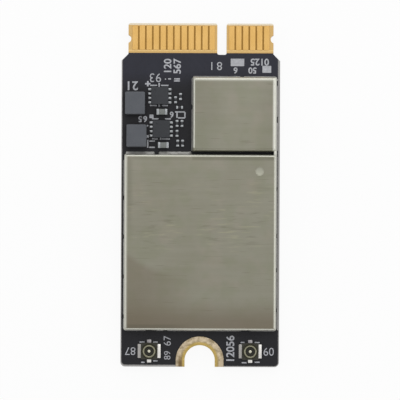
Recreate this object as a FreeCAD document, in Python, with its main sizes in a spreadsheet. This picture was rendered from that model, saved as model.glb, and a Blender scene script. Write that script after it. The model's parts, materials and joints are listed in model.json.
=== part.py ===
"""Wireless card of a laptop: a keyed edge-connector board with two shield cans, a power-supply corner,
two antenna sockets and a screw notch.

Millimetres. The card lies flat: +Z is up out of the component face, +Y points to the contact tongue,
and the origin is on the underside at the middle of the card.
"""

import FreeCAD, Part
import Sketcher
import math
import os
import re

# Driving sizes, one spreadsheet cell each
SIZES = [
    # board
    ("board_width", 17.0),
    ("board_thick", 1.0),
    ("copper_thick", 0.05),
    ("corner_radius", 0.5),
    ("shoulder_width", 0.72),
    ("shoulder_chamfer", 0.78),
    ("header_length", 2.54),
    # contact tongue
    ("tongue_length", 3.25),
    ("tongue_corner", 0.22),
    ("tongue_bevel_length", 0.2),
    ("tongue_bevel_depth", 0.15),
    ("tongue_side_margin", 0.44),
    ("contact_gap", 0.17),
    ("contact_setback", 0.3),
    ("contact_base_margin", 0.39),
    ("long_bank_count", 12),
    ("short_bank_count", 6),
    ("key_slot_width", 1.0),
    ("key_slot_margin", 0.26),
    ("key_slot_extra", 0.12),
    ("key_slot_corner", 0.2),
    ("latch_radius", 0.45),
    ("latch_depth", 0.3),
    ("latch_rise", 1.56),
    # screw notch and its ring
    ("screw_notch_radius", 1.62),
    ("screw_notch_inset", 0.7),
    ("ring_width", 0.95),
    ("ring_gap", 0.7),
    # shield cans and their solder
    ("can_margin", 0.37),
    ("can_gap", 0.31),
    ("can_sheet", 0.15),
    ("can_bend_inside", 0.15),
    ("main_can_length", 18.8),
    ("small_can_length", 7.99),
    ("mark_radius", 0.45),
    ("mark_depth", 0.04),
    ("mark_inset", 1.8),
    ("solder_reach", 0.2),
    ("solder_rise", 0.3),
    ("solder_lip", 0.04),
    ("solder_break", 0.36),
    ("solder_pitch", 4.26),
    # antenna sockets
    ("socket_inward_shift", 0.115),
    ("socket_rear_inset", 1.68),
    ("socket_base_rim", 0.06),
    ("socket_base_thick", 0.25),
    ("socket_height", 0.6),
    ("socket_metal", 0.1),
    ("socket_ring_diameter", 1.35),
    ("socket_ring_wall", 0.16),
    ("socket_collar", 0.165),
    ("socket_tab_reach", 0.33),
    ("socket_tab_width", 1.5),
    ("socket_tail_width", 0.46),
    ("socket_tail_reach", 0.33),
    ("socket_tail_clearance", 0.02),
    ("socket_pin_diameter", 0.36),
    ("socket_pin_height", 0.5),
    # power corner: inductors
    ("inductor_margin", 0.41),
    ("lower_inductor_shift", 0.17),
    ("inductor_width", 2.12),
    ("inductor_length", 2.4),
    ("inductor_height", 1.0),
    ("inductor_corner", 0.2),
    ("inductor_edge", 0.08),
    ("inductor_rise", 0.78),
    ("inductor_gap", 1.1),
    ("terminal_thick", 0.06),
    ("terminal_inset", 0.21),
    ("terminal_foot", 0.5),
    ("terminal_climb", 0.5),
    # power corner: regulators and capacitors
    ("regulator_gap", 0.33),
    ("regulator_body", 1.85),
    ("regulator_height", 0.6),
    ("regulator_row_gap", 0.6),
    ("lead_count", 4),
    ("lead_edge", 0.22),
    ("lead_width", 0.24),
    ("lead_thick", 0.1),
    ("lead_reach", 0.32),
    ("lead_root", 0.25),
    ("die_pad_width", 0.8),
    ("die_pad_length", 1.4),
    ("pin_mark_radius", 0.14),
    ("pin_mark_depth", 0.04),
    ("pin_mark_inset", 0.4),
    ("capacitor_rise", 0.67),
    ("capacitor_gap", 0.48),
    ("capacitor_shift", 0.24),
    ("capacitor_length", 1.16),
    ("capacitor_width", 0.64),
    ("capacitor_height", 0.55),
    ("capacitor_end", 0.27),
    ("capacitor_step", 0.02),
    # power corner: chip resistors
    ("resistor_gap", 0.29),
    ("resistor_column_gap", 0.21),
    ("resistor_rise", 0.83),
    ("resistor_row_gap", 0.31),
    ("resistor_middle_gap", 1.19),
    ("resistor_upper_gap", 0.28),
    ("first_row_shift", 0.08),
    ("last_row_shift", 0.17),
    ("last_row_stagger", 0.35),
    ("resistor_length", 0.75),
    ("resistor_width", 0.32),
    ("resistor_height", 0.24),
    ("resistor_end", 0.22),
    ("resistor_step", 0.02),
    ("parts_gap", 0.96),
    # under the main can
    ("ball_height", 0.18),
    ("ball_diameter", 0.3),
    ("ball_pitch", 0.65),
    ("ball_margin", 0.6),
    ("radio_chip_size", 6.0),
    ("radio_chip_height", 0.7),
    ("radio_chip_gap", 1.0),
    ("thermal_pad_inset", 0.5),
    ("thermal_pad_thick", 0.37),
    ("neighbour_gap", 0.8),
    ("crystal_width", 2.0),
    ("crystal_length", 2.5),
    ("crystal_height", 0.35),
    ("crystal_lid_height", 0.2),
    ("crystal_lid_inset", 0.15),
    ("memory_width", 2.0),
    ("memory_length", 3.0),
    ("memory_height", 0.55),
    ("amplifier_gap", 0.6),
    ("amplifier_size", 2.5),
    ("amplifier_height", 0.6),
    ("amplifier_spread", 4.2),
    ("filter_gap", 0.5),
    ("filter_width", 0.8),
    ("filter_length", 1.25),
    ("filter_height", 0.5),
    # under the small can
    ("companion_chip_size", 3.2),
    ("companion_chip_gap", 0.6),
    ("companion_row_gap", 0.4),
    ("companion_crystal_width", 1.6),
    ("companion_crystal_length", 1.2),
    ("companion_spread", 1.3),
]

# Places worked out from the sizes, in order
PLACES = [
    ("half_width", "board_width / 2"),
    ("half_tongue", "half_width - shoulder_width"),
    ("tongue_width", "2 * half_tongue"),
    ("tail_length", "screw_notch_inset + screw_notch_radius + ring_width + ring_gap"),
    ("front_y", "(tongue_length + header_length + small_can_length + can_gap + main_can_length"
                " + tail_length) / 2"),
    ("rear_y", "-front_y"),
    ("shoulder_y", "front_y - tongue_length"),
    ("small_can_front", "shoulder_y - header_length"),
    ("small_can_rear", "small_can_front - small_can_length"),
    ("main_can_front", "small_can_rear - can_gap"),
    ("main_can_rear", "main_can_front - main_can_length"),
    ("can_right", "half_width - can_margin"),
    ("can_bend", "can_bend_inside + can_sheet"),
    ("chip_top", "board_thick + ball_height + radio_chip_height"),
    ("can_top", "chip_top + thermal_pad_thick + can_sheet"),
    ("can_height", "can_top - board_thick"),
    ("main_can_left", "-can_right"),
    # contacts and key slot
    ("contact_run", "tongue_width - key_slot_width - 2 * (tongue_side_margin + key_slot_margin)"),
    ("contact_pitch", "(contact_run + 2 * contact_gap) / (long_bank_count + short_bank_count)"),
    ("contact_width", "contact_pitch - contact_gap"),
    ("long_bank_left", "tongue_side_margin - half_tongue"),
    ("key_slot_left", "long_bank_left + (long_bank_count - 1) * contact_pitch + contact_width"
                      " + key_slot_margin"),
    ("key_slot_right", "key_slot_left + key_slot_width"),
    ("short_bank_left", "key_slot_right + key_slot_margin"),
    ("contact_rear", "shoulder_y + contact_base_margin"),
    ("contact_length", "front_y - contact_setback - contact_rear"),
    ("latch_y", "shoulder_y + latch_rise"),
    ("latch_x", "half_tongue - latch_depth + latch_radius"),
    # screw notch
    ("notch_y", "rear_y + screw_notch_inset"),
    ("notch_wall_radius", "screw_notch_radius + copper_thick"),
    ("ring_radius", "screw_notch_radius + ring_width"),
    # antenna sockets
    ("socket_x", "(ring_radius + half_width) / 2 - socket_inward_shift"),
    ("socket_y", "rear_y + socket_rear_inset"),
    ("socket_base_size", "socket_ring_diameter + 2 * (socket_collar + socket_base_rim)"),
    ("socket_tab_span", "socket_base_size + 2 * socket_tab_reach"),
    ("socket_tail_length", "socket_base_size / 2 + socket_tail_reach"),
    ("socket_tail_thick", "socket_metal - socket_tail_clearance"),
    # power corner, from the board's left side to the right and from the main can towards the tongue
    ("upper_inductor_x", "inductor_margin - half_width"),
    ("lower_inductor_x", "upper_inductor_x + lower_inductor_shift"),
    ("lower_inductor_y", "main_can_front + inductor_rise"),
    ("upper_inductor_y", "lower_inductor_y + inductor_length + inductor_gap"),
    ("terminal_width", "inductor_width - 2 * terminal_inset"),
    ("regulator_span", "regulator_body + 2 * lead_reach"),
    ("lead_pitch", "(regulator_body - 2 * lead_edge) / (lead_count - 1)"),
    ("upper_regulator_x", "upper_inductor_x + inductor_width + regulator_gap + regulator_span / 2"),
    ("lower_regulator_x", "lower_inductor_x + inductor_width + regulator_gap + regulator_span / 2"),
    ("lower_capacitor_y", "main_can_front + capacitor_rise + capacitor_width / 2"),
    ("capacitor_to_regulator", "capacitor_width / 2 + capacitor_gap + regulator_body / 2"),
    ("lower_regulator_y", "lower_capacitor_y + capacitor_to_regulator"),
    ("upper_capacitor_y", "lower_regulator_y + (regulator_body + capacitor_width) / 2"
                          " + regulator_row_gap"),
    ("upper_regulator_y", "upper_capacitor_y + capacitor_to_regulator"),
    ("upper_capacitor_x", "upper_regulator_x + capacitor_shift"),
    ("lower_capacitor_x", "lower_regulator_x + capacitor_shift"),
    ("inner_column_x", "lower_regulator_x + (regulator_span + resistor_width) / 2 + resistor_gap"),
    ("outer_column_x", "inner_column_x + resistor_width + resistor_column_gap"),
    ("middle_column_x", "(inner_column_x + outer_column_x) / 2"),
    ("first_inner_x", "inner_column_x + first_row_shift"),
    ("first_outer_x", "outer_column_x + first_row_shift"),
    ("last_inner_x", "inner_column_x - last_row_shift"),
    ("last_outer_x", "outer_column_x - last_row_shift"),
    ("resistor_row_1", "main_can_front + resistor_rise + resistor_length / 2"),
    ("resistor_row_2", "resistor_row_1 + resistor_length + resistor_row_gap"),
    ("resistor_row_3", "resistor_row_2 + resistor_length + resistor_row_gap"),
    ("resistor_row_4", "resistor_row_3 + (resistor_length + resistor_width) / 2 + resistor_middle_gap"),
    ("resistor_row_5", "resistor_row_4 + (resistor_length + resistor_width) / 2 + resistor_upper_gap"),
    ("resistor_row_6", "resistor_row_5 + last_row_stagger"),
    ("small_can_left", "outer_column_x + resistor_width / 2 + parts_gap"),
    ("small_can_x", "(small_can_left + can_right) / 2"),
    # chips under the cans
    ("radio_ball_rows", "floor((radio_chip_size - 2 * ball_margin) / ball_pitch) + 1"),
    ("companion_ball_rows", "floor((companion_chip_size - 2 * ball_margin) / ball_pitch) + 1"),
    ("thermal_pad_size", "radio_chip_size - 2 * thermal_pad_inset"),
    ("radio_y", "main_can_front - radio_chip_gap - radio_chip_size / 2"),
    ("crystal_x", "-(radio_chip_size + crystal_width) / 2 - neighbour_gap"),
    ("memory_x", "(radio_chip_size + memory_width) / 2 + neighbour_gap"),
    ("amplifier_y", "radio_y - (radio_chip_size + amplifier_size) / 2 - amplifier_gap"),
    ("filter_y", "amplifier_y - (amplifier_size + filter_length) / 2 - filter_gap"),
    ("companion_y", "small_can_front - companion_chip_gap - companion_chip_size / 2"),
    ("companion_row_y", "companion_y - companion_chip_size / 2 - companion_row_gap"
                        " - companion_crystal_length / 2"),
]

XY, YZ = "XY_Plane", "YZ_Plane"

doc = FreeCAD.newDocument("wireless_card")
owner = {}


def bound(text):
    """An expression in which each named size or place is written with the object that holds it."""
    return re.sub(r"[a-z]\w*", lambda word: owner.get(word[0], "") + word[0], text)


def make_sheet():
    sheet = doc.addObject("Spreadsheet::Sheet", "Sizes")
    for row, (name, value) in enumerate(SIZES, 1):
        sheet.set(f"A{row}", name)
        sheet.set(f"B{row}", str(value))
        sheet.setAlias(f"B{row}", name)
        owner[name] = "Sizes."
    doc.recompute()
    return sheet


def make_places():
    places = doc.addObject("App::VarSet", "Places")
    for name, text in PLACES:
        places.addProperty("App::PropertyFloat", name)
        places.setExpression(name, bound(text))
        owner[name] = "Places."
    doc.recompute()
    return places


def bind(item, **formulas):
    """Ties properties to formulas; x, y and z are the item's place."""
    for name, text in formulas.items():
        path = f"Placement.Base.{name}" if name in ("x", "y", "z") else name
        item.setExpression(path, bound(text))
    return item


def box(name, length, width, height, x, y, z):
    """A block that stands on z, centred on x and y."""
    item = doc.addObject("Part::Box", name)
    return bind(item, Length=length, Width=width, Height=height,
                x=f"{x} - ({length}) / 2", y=f"{y} - ({width}) / 2", z=z)


def cylinder(name, radius, height, x, y, z):
    item = doc.addObject("Part::Cylinder", name)
    return bind(item, Radius=radius, Height=height, x=x, y=y, z=z)


def group(name, members):
    """Separate solids that share one node."""
    item = doc.addObject("Part::Compound", name)
    item.Links = members
    return item


def fuse(name, members):
    item = doc.addObject("Part::MultiFuse", name)
    item.Shapes = members
    return item


def cut(name, base, tool):
    item = doc.addObject("Part::Cut", name)
    item.Base = base
    item.Tool = tool
    return item


def new_body(name):
    return doc.addObject("PartDesign::Body", name)


def new_sketch(body, name, height="0", plane=XY):
    """A sketch on one of the body's own planes, raised to a height along that plane's normal."""
    sketch = body.newObject("Sketcher::SketchObject", name)
    support = next(f for f in body.Origin.OriginFeatures if f.Role == plane)
    sketch.AttachmentSupport = [(support, "")]
    sketch.MapMode = "FlatFace"
    sketch.setExpression("AttachmentOffset.Base.z", bound(height))
    return sketch


def dimension(sketch, name, text, *constraint):
    """Adds a dimension to a sketch and ties it to a formula."""
    index = sketch.addConstraint(Sketcher.Constraint(*constraint))
    sketch.renameConstraint(index, name)
    sketch.setExpression(f"Constraints.{name}", bound(text))


def place_point(sketch, name, geometry, point, x, y):
    """Dimensions a point of the sketch from the sketch's origin."""
    at = sketch.getPoint(geometry, point)
    dimension(sketch, f"{name}_x", x, "DistanceX", -1, 1, geometry, point, at.x)
    dimension(sketch, f"{name}_y", y, "DistanceY", -1, 1, geometry, point, at.y)


def draw_polygon(sketch, corners):
    """A closed outline through corners given as pairs of formulas."""
    start = [FreeCAD.Vector(*(float(sketch.evalExpression(bound(c))) for c in pair)) for pair in corners]
    lines = [
        sketch.addGeometry(Part.LineSegment(a, b), False)
        for a, b in zip(start, start[1:] + start[:1])
    ]
    for line, following in zip(lines, lines[1:] + lines[:1]):
        sketch.addConstraint(Sketcher.Constraint("Coincident", line, 2, following, 1))
    for number, (line, (x, y)) in enumerate(zip(lines, corners)):
        place_point(sketch, f"corner_{number}", line, 1, x, y)


def draw_rectangle(sketch, left, right, low, high):
    draw_polygon(sketch, [(left, low), (right, low), (right, high), (left, high)])


def draw_circle(sketch, name, x, y, radius):
    start = FreeCAD.Vector(*(float(sketch.evalExpression(bound(c))) for c in (x, y)))
    size = float(sketch.evalExpression(bound(radius)))
    circle = sketch.addGeometry(Part.Circle(start, FreeCAD.Vector(0, 0, 1), size), False)
    place_point(sketch, name, circle, 3, x, y)
    dimension(sketch, f"{name}_radius", radius, "Radius", circle, size)


def draw_notch(sketch, radius, end):
    """A U open to the rear: a half circle about the screw's axis with straight sides that run to end."""
    centre = FreeCAD.Vector(0, places.notch_y)
    size = float(sketch.evalExpression(bound(radius)))
    end_y = float(sketch.evalExpression(bound(end)))
    left, right = FreeCAD.Vector(-size, centre.y), FreeCAD.Vector(size, centre.y)
    left_end, right_end = FreeCAD.Vector(-size, end_y), FreeCAD.Vector(size, end_y)
    circle = Part.Circle(centre, FreeCAD.Vector(0, 0, 1), size)
    arc = sketch.addGeometry(Part.ArcOfCircle(circle, 0, math.pi), False)
    left_side = sketch.addGeometry(Part.LineSegment(left, left_end), False)
    foot = sketch.addGeometry(Part.LineSegment(left_end, right_end), False)
    right_side = sketch.addGeometry(Part.LineSegment(right_end, right), False)
    sketch.addConstraint(Sketcher.Constraint("Coincident", arc, 2, left_side, 1))
    sketch.addConstraint(Sketcher.Constraint("Coincident", left_side, 2, foot, 1))
    sketch.addConstraint(Sketcher.Constraint("Coincident", foot, 2, right_side, 1))
    sketch.addConstraint(Sketcher.Constraint("Coincident", right_side, 2, arc, 1))
    place_point(sketch, "right", arc, 1, radius, "notch_y")
    place_point(sketch, "left", arc, 2, f"-({radius})", "notch_y")
    dimension(sketch, "centre_y", "notch_y", "DistanceY", -1, 1, arc, 3, centre.y)
    place_point(sketch, "left_end", foot, 1, f"-({radius})", end)
    place_point(sketch, "right_end", foot, 2, radius, end)


def pad(body, sketch, name, height):
    feature = body.newObject("PartDesign::Pad", name)
    feature.Profile = sketch
    return bind(feature, Length=height)


def pocket(body, sketch, name, depth, upward=False):
    """Cuts a sketch's outline to a depth, down along the sketch's normal or, if upward, along it."""
    feature = body.newObject("PartDesign::Pocket", name)
    feature.Profile = sketch
    feature.Reversed = upward
    return bind(feature, Length=depth)


def edges_where(feature, test):
    """Names of the feature's edges whose middle point and direction pass a test."""
    doc.recompute()
    names = []
    for number, edge in enumerate(feature.Shape.Edges, 1):
        middle = edge.valueAt((edge.FirstParameter + edge.LastParameter) / 2)
        size = edge.BoundBox
        if test(middle, FreeCAD.Vector(size.XLength, size.YLength, size.ZLength)):
            names.append(f"Edge{number}")
    return names


def dress(body, kind, name, base, edges, **formulas):
    """A fillet, chamfer or wall thickness on named edges or faces of a feature."""
    feature = body.newObject(f"PartDesign::{kind}", name)
    feature.Base = (base, edges)
    return bind(feature, **formulas)


def near(a, b):
    return abs(a - b) < 1e-4


def upright(size):
    """True of an edge that runs straight up."""
    return size.z > 1e-4 and near(size.x, 0) and near(size.y, 0)


# Circuit board

def make_board():
    body = new_body("circuit_board")
    sketch = new_sketch(body, "board_outline")
    draw_rectangle(sketch, "-half_width", "half_width", "rear_y", "shoulder_y")
    slab = pad(body, sketch, "board_slab", "board_thick")
    rear = edges_where(slab, lambda p, s: upright(s) and near(p.y, places.rear_y))
    rounded = dress(body, "Fillet", "rear_corners", slab, rear, Radius="corner_radius")
    front = edges_where(rounded, lambda p, s: upright(s) and near(p.y, places.shoulder_y))
    dress(body, "Chamfer", "shoulders", rounded, front, Size="shoulder_chamfer")
    sketch = new_sketch(body, "tongue_outline")
    draw_rectangle(sketch, "-half_tongue", "half_tongue", "shoulder_y - header_length / 2", "front_y")
    pad(body, sketch, "tongue", "board_thick")
    cut_key_slot(body)
    cut_latches(body)
    bevel_tongue(body)
    cut_screw_notch(body)
    return body


def cut_key_slot(body):
    sketch = new_sketch(body, "key_slot_outline")
    draw_rectangle(sketch, "key_slot_left", "key_slot_right",
                   "shoulder_y - key_slot_extra", "front_y + key_slot_width")
    slot = pocket(body, sketch, "key_slot", "board_thick", upward=True)
    floor = places.shoulder_y - sizes.key_slot_extra
    inner = edges_where(slot, lambda p, s: upright(s) and near(p.y, floor))
    rounded = dress(body, "Fillet", "key_slot_corners", slot, inner, Radius="key_slot_corner")
    tips = edges_where(rounded, lambda p, s: upright(s) and near(p.y, places.front_y))
    dress(body, "Fillet", "tongue_corners", rounded, tips, Radius="tongue_corner")


def cut_latches(body):
    sketch = new_sketch(body, "latch_circles")
    draw_circle(sketch, "left_latch", "-latch_x", "latch_y", "latch_radius")
    draw_circle(sketch, "right_latch", "latch_x", "latch_y", "latch_radius")
    pocket(body, sketch, "latch_notches", "board_thick", upward=True)


def bevel_tongue(body):
    """Slants the tongue's end on both faces, so that it leads into a socket."""
    back = "front_y - tongue_bevel_length"
    for name, face, inner in (("upper_bevel", "board_thick", "board_thick - tongue_bevel_depth"),
                              ("lower_bevel", "0", "tongue_bevel_depth")):
        sketch = new_sketch(body, f"{name}_outline", "-half_tongue", YZ)
        draw_polygon(sketch, [(back, face), ("front_y", inner), ("front_y", face)])
        pocket(body, sketch, name, "tongue_width", upward=True)


def cut_screw_notch(body):
    sketch = new_sketch(body, "notch_outline")
    draw_notch(sketch, "notch_wall_radius", "rear_y - screw_notch_inset")
    pocket(body, sketch, "screw_notch", "board_thick", upward=True)
    sketch = new_sketch(body, "ring_seat_outline")
    draw_notch(sketch, "ring_radius", "rear_y - screw_notch_inset")
    pocket(body, sketch, "ring_seat", "copper_thick", upward=True)


# Contacts and screw ring

def make_contacts(name, count, left):
    pads = [
        box(f"{name}_{number}", "contact_width", "contact_length", "copper_thick",
            f"({left} + contact_width / 2 + {number} * contact_pitch)",
            "(contact_rear + contact_length / 2)", "board_thick")
        for number in range(count)
    ]
    return group(name, pads)


def make_screw_ring():
    """Plating that lines the notch and lies on both faces around it, flush with the underside."""
    body = new_body("screw_ground_ring")
    for name, radius, height, thick in (
        ("barrel", "notch_wall_radius", "0", "board_thick + copper_thick"),
        ("lower_flange", "ring_radius", "0", "copper_thick"),
        ("upper_flange", "ring_radius", "board_thick", "copper_thick"),
    ):
        sketch = new_sketch(body, f"{name}_outline", height)
        draw_notch(sketch, radius, "rear_y")
        pad(body, sketch, name, thick)
    sketch = new_sketch(body, "ring_opening_outline")
    draw_notch(sketch, "screw_notch_radius", "rear_y - screw_notch_inset")
    pocket(body, sketch, "ring_opening", "board_thick + copper_thick", upward=True)
    return body


# Shield cans

def make_can(name, left, right, rear, front):
    """A drawn sheet can: rounded over its top and corners, open underneath."""
    body = new_body(name)
    sketch = new_sketch(body, f"{name}_outline", "board_thick")
    draw_rectangle(sketch, left, right, rear, front)
    block = pad(body, sketch, f"{name}_block", "can_height")
    folds = edges_where(block, lambda p, s: upright(s) or near(p.z, places.can_top))
    rounded = dress(body, "Fillet", f"{name}_bends", block, folds, Radius="can_bend")
    doc.recompute()
    faces = rounded.Shape.Faces
    under = [f"Face{i}" for i, face in enumerate(faces, 1) if near(face.BoundBox.ZMax, sizes.board_thick)]
    hollow = dress(body, "Thickness", f"{name}_wall", rounded, under, Value="can_sheet")
    hollow.Reversed = True
    return body


def cut_orientation_mark(body):
    """A shallow round dimple near the main can's front right corner."""
    sketch = new_sketch(body, "mark_outline", "can_top")
    draw_circle(sketch, "mark", "can_right - mark_inset", "main_can_front - mark_inset", "mark_radius")
    pocket(body, sketch, "orientation_mark", "mark_depth")


def solder_run(name, side, corner, length, start):
    """Fillets of solder along one side of a can, broken at even steps; side turns the run about Z."""
    straight = f"({length} - 2 * can_bend)"
    count = max(1, round(float(sizes.evalExpression(bound(f"{straight} / solder_pitch")))))
    turn = FreeCAD.Rotation(FreeCAD.Vector(0, 0, 1), side)
    stand = FreeCAD.Rotation(FreeCAD.Vector(1, 0, 0), 90)
    run = turn.multVec(FreeCAD.Vector(0, 1, 0))
    pieces = []
    for number in range(count):
        piece = doc.addObject("Part::Wedge", f"{name}_{number}")
        piece.Placement.Rotation = turn * stand
        segment = f"{straight} / {count} - solder_break"
        for low in ("Xmin", "Ymin", "Zmin", "X2min", "Z2min"):
            setattr(piece, low, 0)
        bind(piece, Xmax="solder_reach", X2max="solder_lip", Ymax="solder_rise",
             Zmax=segment, Z2max=segment)
        far = f"(can_bend + ({number} + 1) * {straight} / {count} - solder_break / 2)"
        x, y = corner
        along_x = f"{x} + ({run.x:.0f}) * {far}"
        along_y = f"{y} + ({run.y:.0f}) * {far}"
        bind(piece, x=along_x, y=along_y, z=start)
        pieces.append(piece)
    return pieces


def make_can_solder(name, left, right, rear, front, sides):
    width, length = f"({right} - {left})", f"({front} - {rear})"
    runs = {
        "right": (0, (right, rear), length),
        "front": (90, (right, front), width),
        "left": (180, (left, front), length),
        "rear": (270, (left, rear), width),
    }
    pieces = []
    for side in sides:
        pieces += solder_run(f"{name}_{side}", *runs[side], "board_thick")
    return group(name, pieces)


# Antenna sockets

def make_socket(name, x):
    """A coaxial socket: a ring that stands on ground feet and a centre pin, held in a plastic base."""
    y, floor = "socket_y", "board_thick"
    ring_radius = "socket_ring_diameter / 2"
    bore_radius = f"({ring_radius} - socket_ring_wall)"
    post = cylinder(f"{name}_post", "socket_pin_diameter / 2", "socket_pin_height", x, y, floor)
    tail = box(f"{name}_signal_tail", "socket_tail_width", "socket_tail_length", "socket_tail_thick",
               x, f"({y} + socket_tail_length / 2)", floor)
    pin = fuse(f"{name}_pin", [post, tail])
    lift, wall = f"{floor} + socket_metal", "socket_height - socket_metal"
    collar = cylinder(f"{name}_collar", f"{ring_radius} + socket_collar",
                      "socket_base_thick - socket_metal", x, y, lift)
    outer = cylinder(f"{name}_ring_outside", ring_radius, wall, x, y, lift)
    bore = cylinder(f"{name}_ring_bore", bore_radius, wall, x, y, lift)
    ring = cut(f"{name}_ring", fuse(f"{name}_ring_blank", [outer, collar]), bore)
    foot_length = f"(socket_tab_span / 2 - {bore_radius})"
    feet = [
        box(f"{name}_foot_{side}", foot_length, "socket_tab_width", "socket_metal",
            f"({x} + ({sign}) * ({bore_radius} + {foot_length} / 2))", y, floor)
        for side, sign in (("left", -1), ("right", 1))
    ]
    rear_length = f"(socket_tail_length - {bore_radius})"
    rear = box(f"{name}_ground_tail", "socket_tail_width", rear_length, "socket_metal",
               x, f"({y} - {bore_radius} - {rear_length} / 2)", floor)
    frame = group(f"{name}_feet", [*feet, rear])
    block = box(f"{name}_block", "socket_base_size", "socket_base_size", "socket_base_thick", x, y, floor)
    base = cut(f"{name}_base", block, fuse(f"{name}_metal", [ring, *feet, rear, post, tail]))
    return [base, ring, frame, pin]


# Power corner

def make_inductor(name, x, y):
    """A moulded inductor with bent terminals on its short ends; x and y are its left rear corner."""
    body = new_body(name)
    floor = "board_thick + terminal_thick"
    sketch = new_sketch(body, f"{name}_outline", floor)
    draw_rectangle(sketch, x, f"{x} + inductor_width", y, f"{y} + inductor_length")
    block = pad(body, sketch, f"{name}_block", "inductor_height")
    top = sizes.board_thick + sizes.terminal_thick + sizes.inductor_height
    corners = edges_where(block, lambda p, s: upright(s))
    rounded = dress(body, "Fillet", f"{name}_corners", block, corners, Radius="inductor_corner")
    rim = edges_where(rounded, lambda p, s: near(p.z, top))
    dress(body, "Chamfer", f"{name}_rim", rounded, rim, Size="inductor_edge")
    middle = f"({x} + inductor_width / 2)"
    clips = []
    for end, edge, inward in (("rear", y, 1), ("front", f"({y} + inductor_length)", -1)):
        foot = box(f"{name}_{end}_foot", "terminal_width", "terminal_foot", "terminal_thick",
                   middle, f"({edge} + ({inward}) * terminal_foot / 2)", "board_thick")
        plate = box(f"{name}_{end}_plate", "terminal_width", "terminal_thick", "terminal_climb",
                    middle, f"({edge} - ({inward}) * terminal_thick / 2)", "board_thick")
        clips.append(fuse(f"{name}_{end}_terminal", [foot, plate]))
    return [body, group(f"{name}_terminals", clips)]


def make_regulator(name, x, y):
    """A leadless power chip: a moulded body on a lead frame that shows along two sides."""
    length = "(lead_root + lead_reach)"
    leads = [
        box(f"{name}_lead_{side}_{number}", length, "lead_width", "lead_thick",
            f"({x} + ({sign}) * (regulator_span / 2 - {length} / 2))",
            f"({y} + ({number} - (lead_count - 1) / 2) * lead_pitch)", "board_thick")
        for side, sign in (("left", -1), ("right", 1))
        for number in range(int(sizes.lead_count))
    ]
    leads.append(box(f"{name}_die_pad", "die_pad_width", "die_pad_length", "lead_thick",
                     x, y, "board_thick"))
    frame = group(f"{name}_leads", leads)
    block = box(f"{name}_block", "regulator_body", "regulator_body", "regulator_height",
                x, y, "board_thick")
    corner = "(regulator_body / 2 - pin_mark_inset)"
    mark = cylinder(f"{name}_mark", "pin_mark_radius", "pin_mark_depth", f"{x} - {corner}",
                    f"{y} + {corner}", "board_thick + regulator_height - pin_mark_depth")
    moulded = cut(f"{name}_moulding", block, frame)
    return [cut(name, moulded, mark), frame]


def make_chip_part(name, kind, x, y, along_y):
    """A ceramic chip part with metal ends; its long side lies along X, or along Y."""
    length, width, end = f"{kind}_length", f"{kind}_width", f"{kind}_end"
    height, step = f"{kind}_height", f"{kind}_step"
    core = f"({length} - 2 * {end})"
    slim, low = f"({width} - 2 * {step})", f"({height} - 2 * {step})"
    reach = f"({length} - {end}) / 2"

    def block(label, size, across, tall, offset, z):
        if along_y:
            return box(label, across, size, tall, x, f"({y} + {offset})", z)
        return box(label, size, across, tall, f"({x} + {offset})", y, z)

    body = block(name, core, slim, low, "0", f"board_thick + {step}")
    ends = [
        block(f"{name}_end_{number}", end, width, height, f"({sign}) * {reach}", "board_thick")
        for number, sign in ((1, -1), (2, 1))
    ]
    return [body, group(f"{name}_ends", ends)]


RESISTORS = [
    ("first_inner_x", "resistor_row_1", True),
    ("first_outer_x", "resistor_row_1", True),
    ("inner_column_x", "resistor_row_2", True),
    ("inner_column_x", "resistor_row_3", True),
    ("outer_column_x", "resistor_row_3", True),
    ("middle_column_x", "resistor_row_4", False),
    ("last_inner_x", "resistor_row_5", True),
    ("last_outer_x", "resistor_row_6", True),
]


# Chips under the cans

def make_ball_chip(name, size, rows, x, y):
    """A chip on a square grid of solder balls."""
    half = f"({rows} - 1) / 2"
    count = round(getattr(places, rows))
    balls = [
        cylinder(f"{name}_ball_{row}_{column}", "ball_diameter / 2", "ball_height",
                 f"{x} + ({column} - {half}) * ball_pitch", f"{y} + ({row} - {half}) * ball_pitch",
                 "board_thick")
        for row in range(count)
        for column in range(count)
    ]
    chip = box(name, size, size, "radio_chip_height", x, y, "board_thick + ball_height")
    return [chip, group(f"{name}_balls", balls)]


def make_crystal(name, width, length, x, y):
    """A clock crystal: a ceramic base with a metal lid."""
    base = box(f"{name}_base", width, length, "crystal_height", x, y, "board_thick")
    lid = box(f"{name}_lid", f"({width} - 2 * crystal_lid_inset)", f"({length} - 2 * crystal_lid_inset)",
              "crystal_lid_height", x, y, "board_thick + crystal_height")
    return [base, lid]


def make_main_can_chips():
    nodes = make_ball_chip("radio_chip", "radio_chip_size", "radio_ball_rows", "0", "radio_y")
    nodes.append(box("thermal_pad", "thermal_pad_size", "thermal_pad_size", "thermal_pad_thick",
                     "0", "radio_y", "chip_top"))
    nodes += make_crystal("crystal", "crystal_width", "crystal_length", "crystal_x", "radio_y")
    nodes.append(box("memory_chip", "memory_width", "memory_length", "memory_height",
                     "memory_x", "radio_y", "board_thick"))
    for side, sign in (("left", -1), ("right", 1)):
        x = f"({sign}) * amplifier_spread"
        nodes.append(box(f"{side}_amplifier", "amplifier_size", "amplifier_size", "amplifier_height",
                         x, "amplifier_y", "board_thick"))
        nodes.append(box(f"{side}_filter", "filter_width", "filter_length", "filter_height",
                         x, "filter_y", "board_thick"))
    return nodes


def make_small_can_chips():
    x = "small_can_x"
    nodes = make_ball_chip("companion_chip", "companion_chip_size", "companion_ball_rows", x, "companion_y")
    nodes += make_crystal("companion_crystal", "companion_crystal_width", "companion_crystal_length",
                          f"({x} - companion_spread)", "companion_row_y")
    nodes.append(box("companion_filter", "filter_width", "filter_length", "filter_height",
                     f"({x} + companion_spread)", "companion_row_y", "board_thick"))
    return nodes


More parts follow.
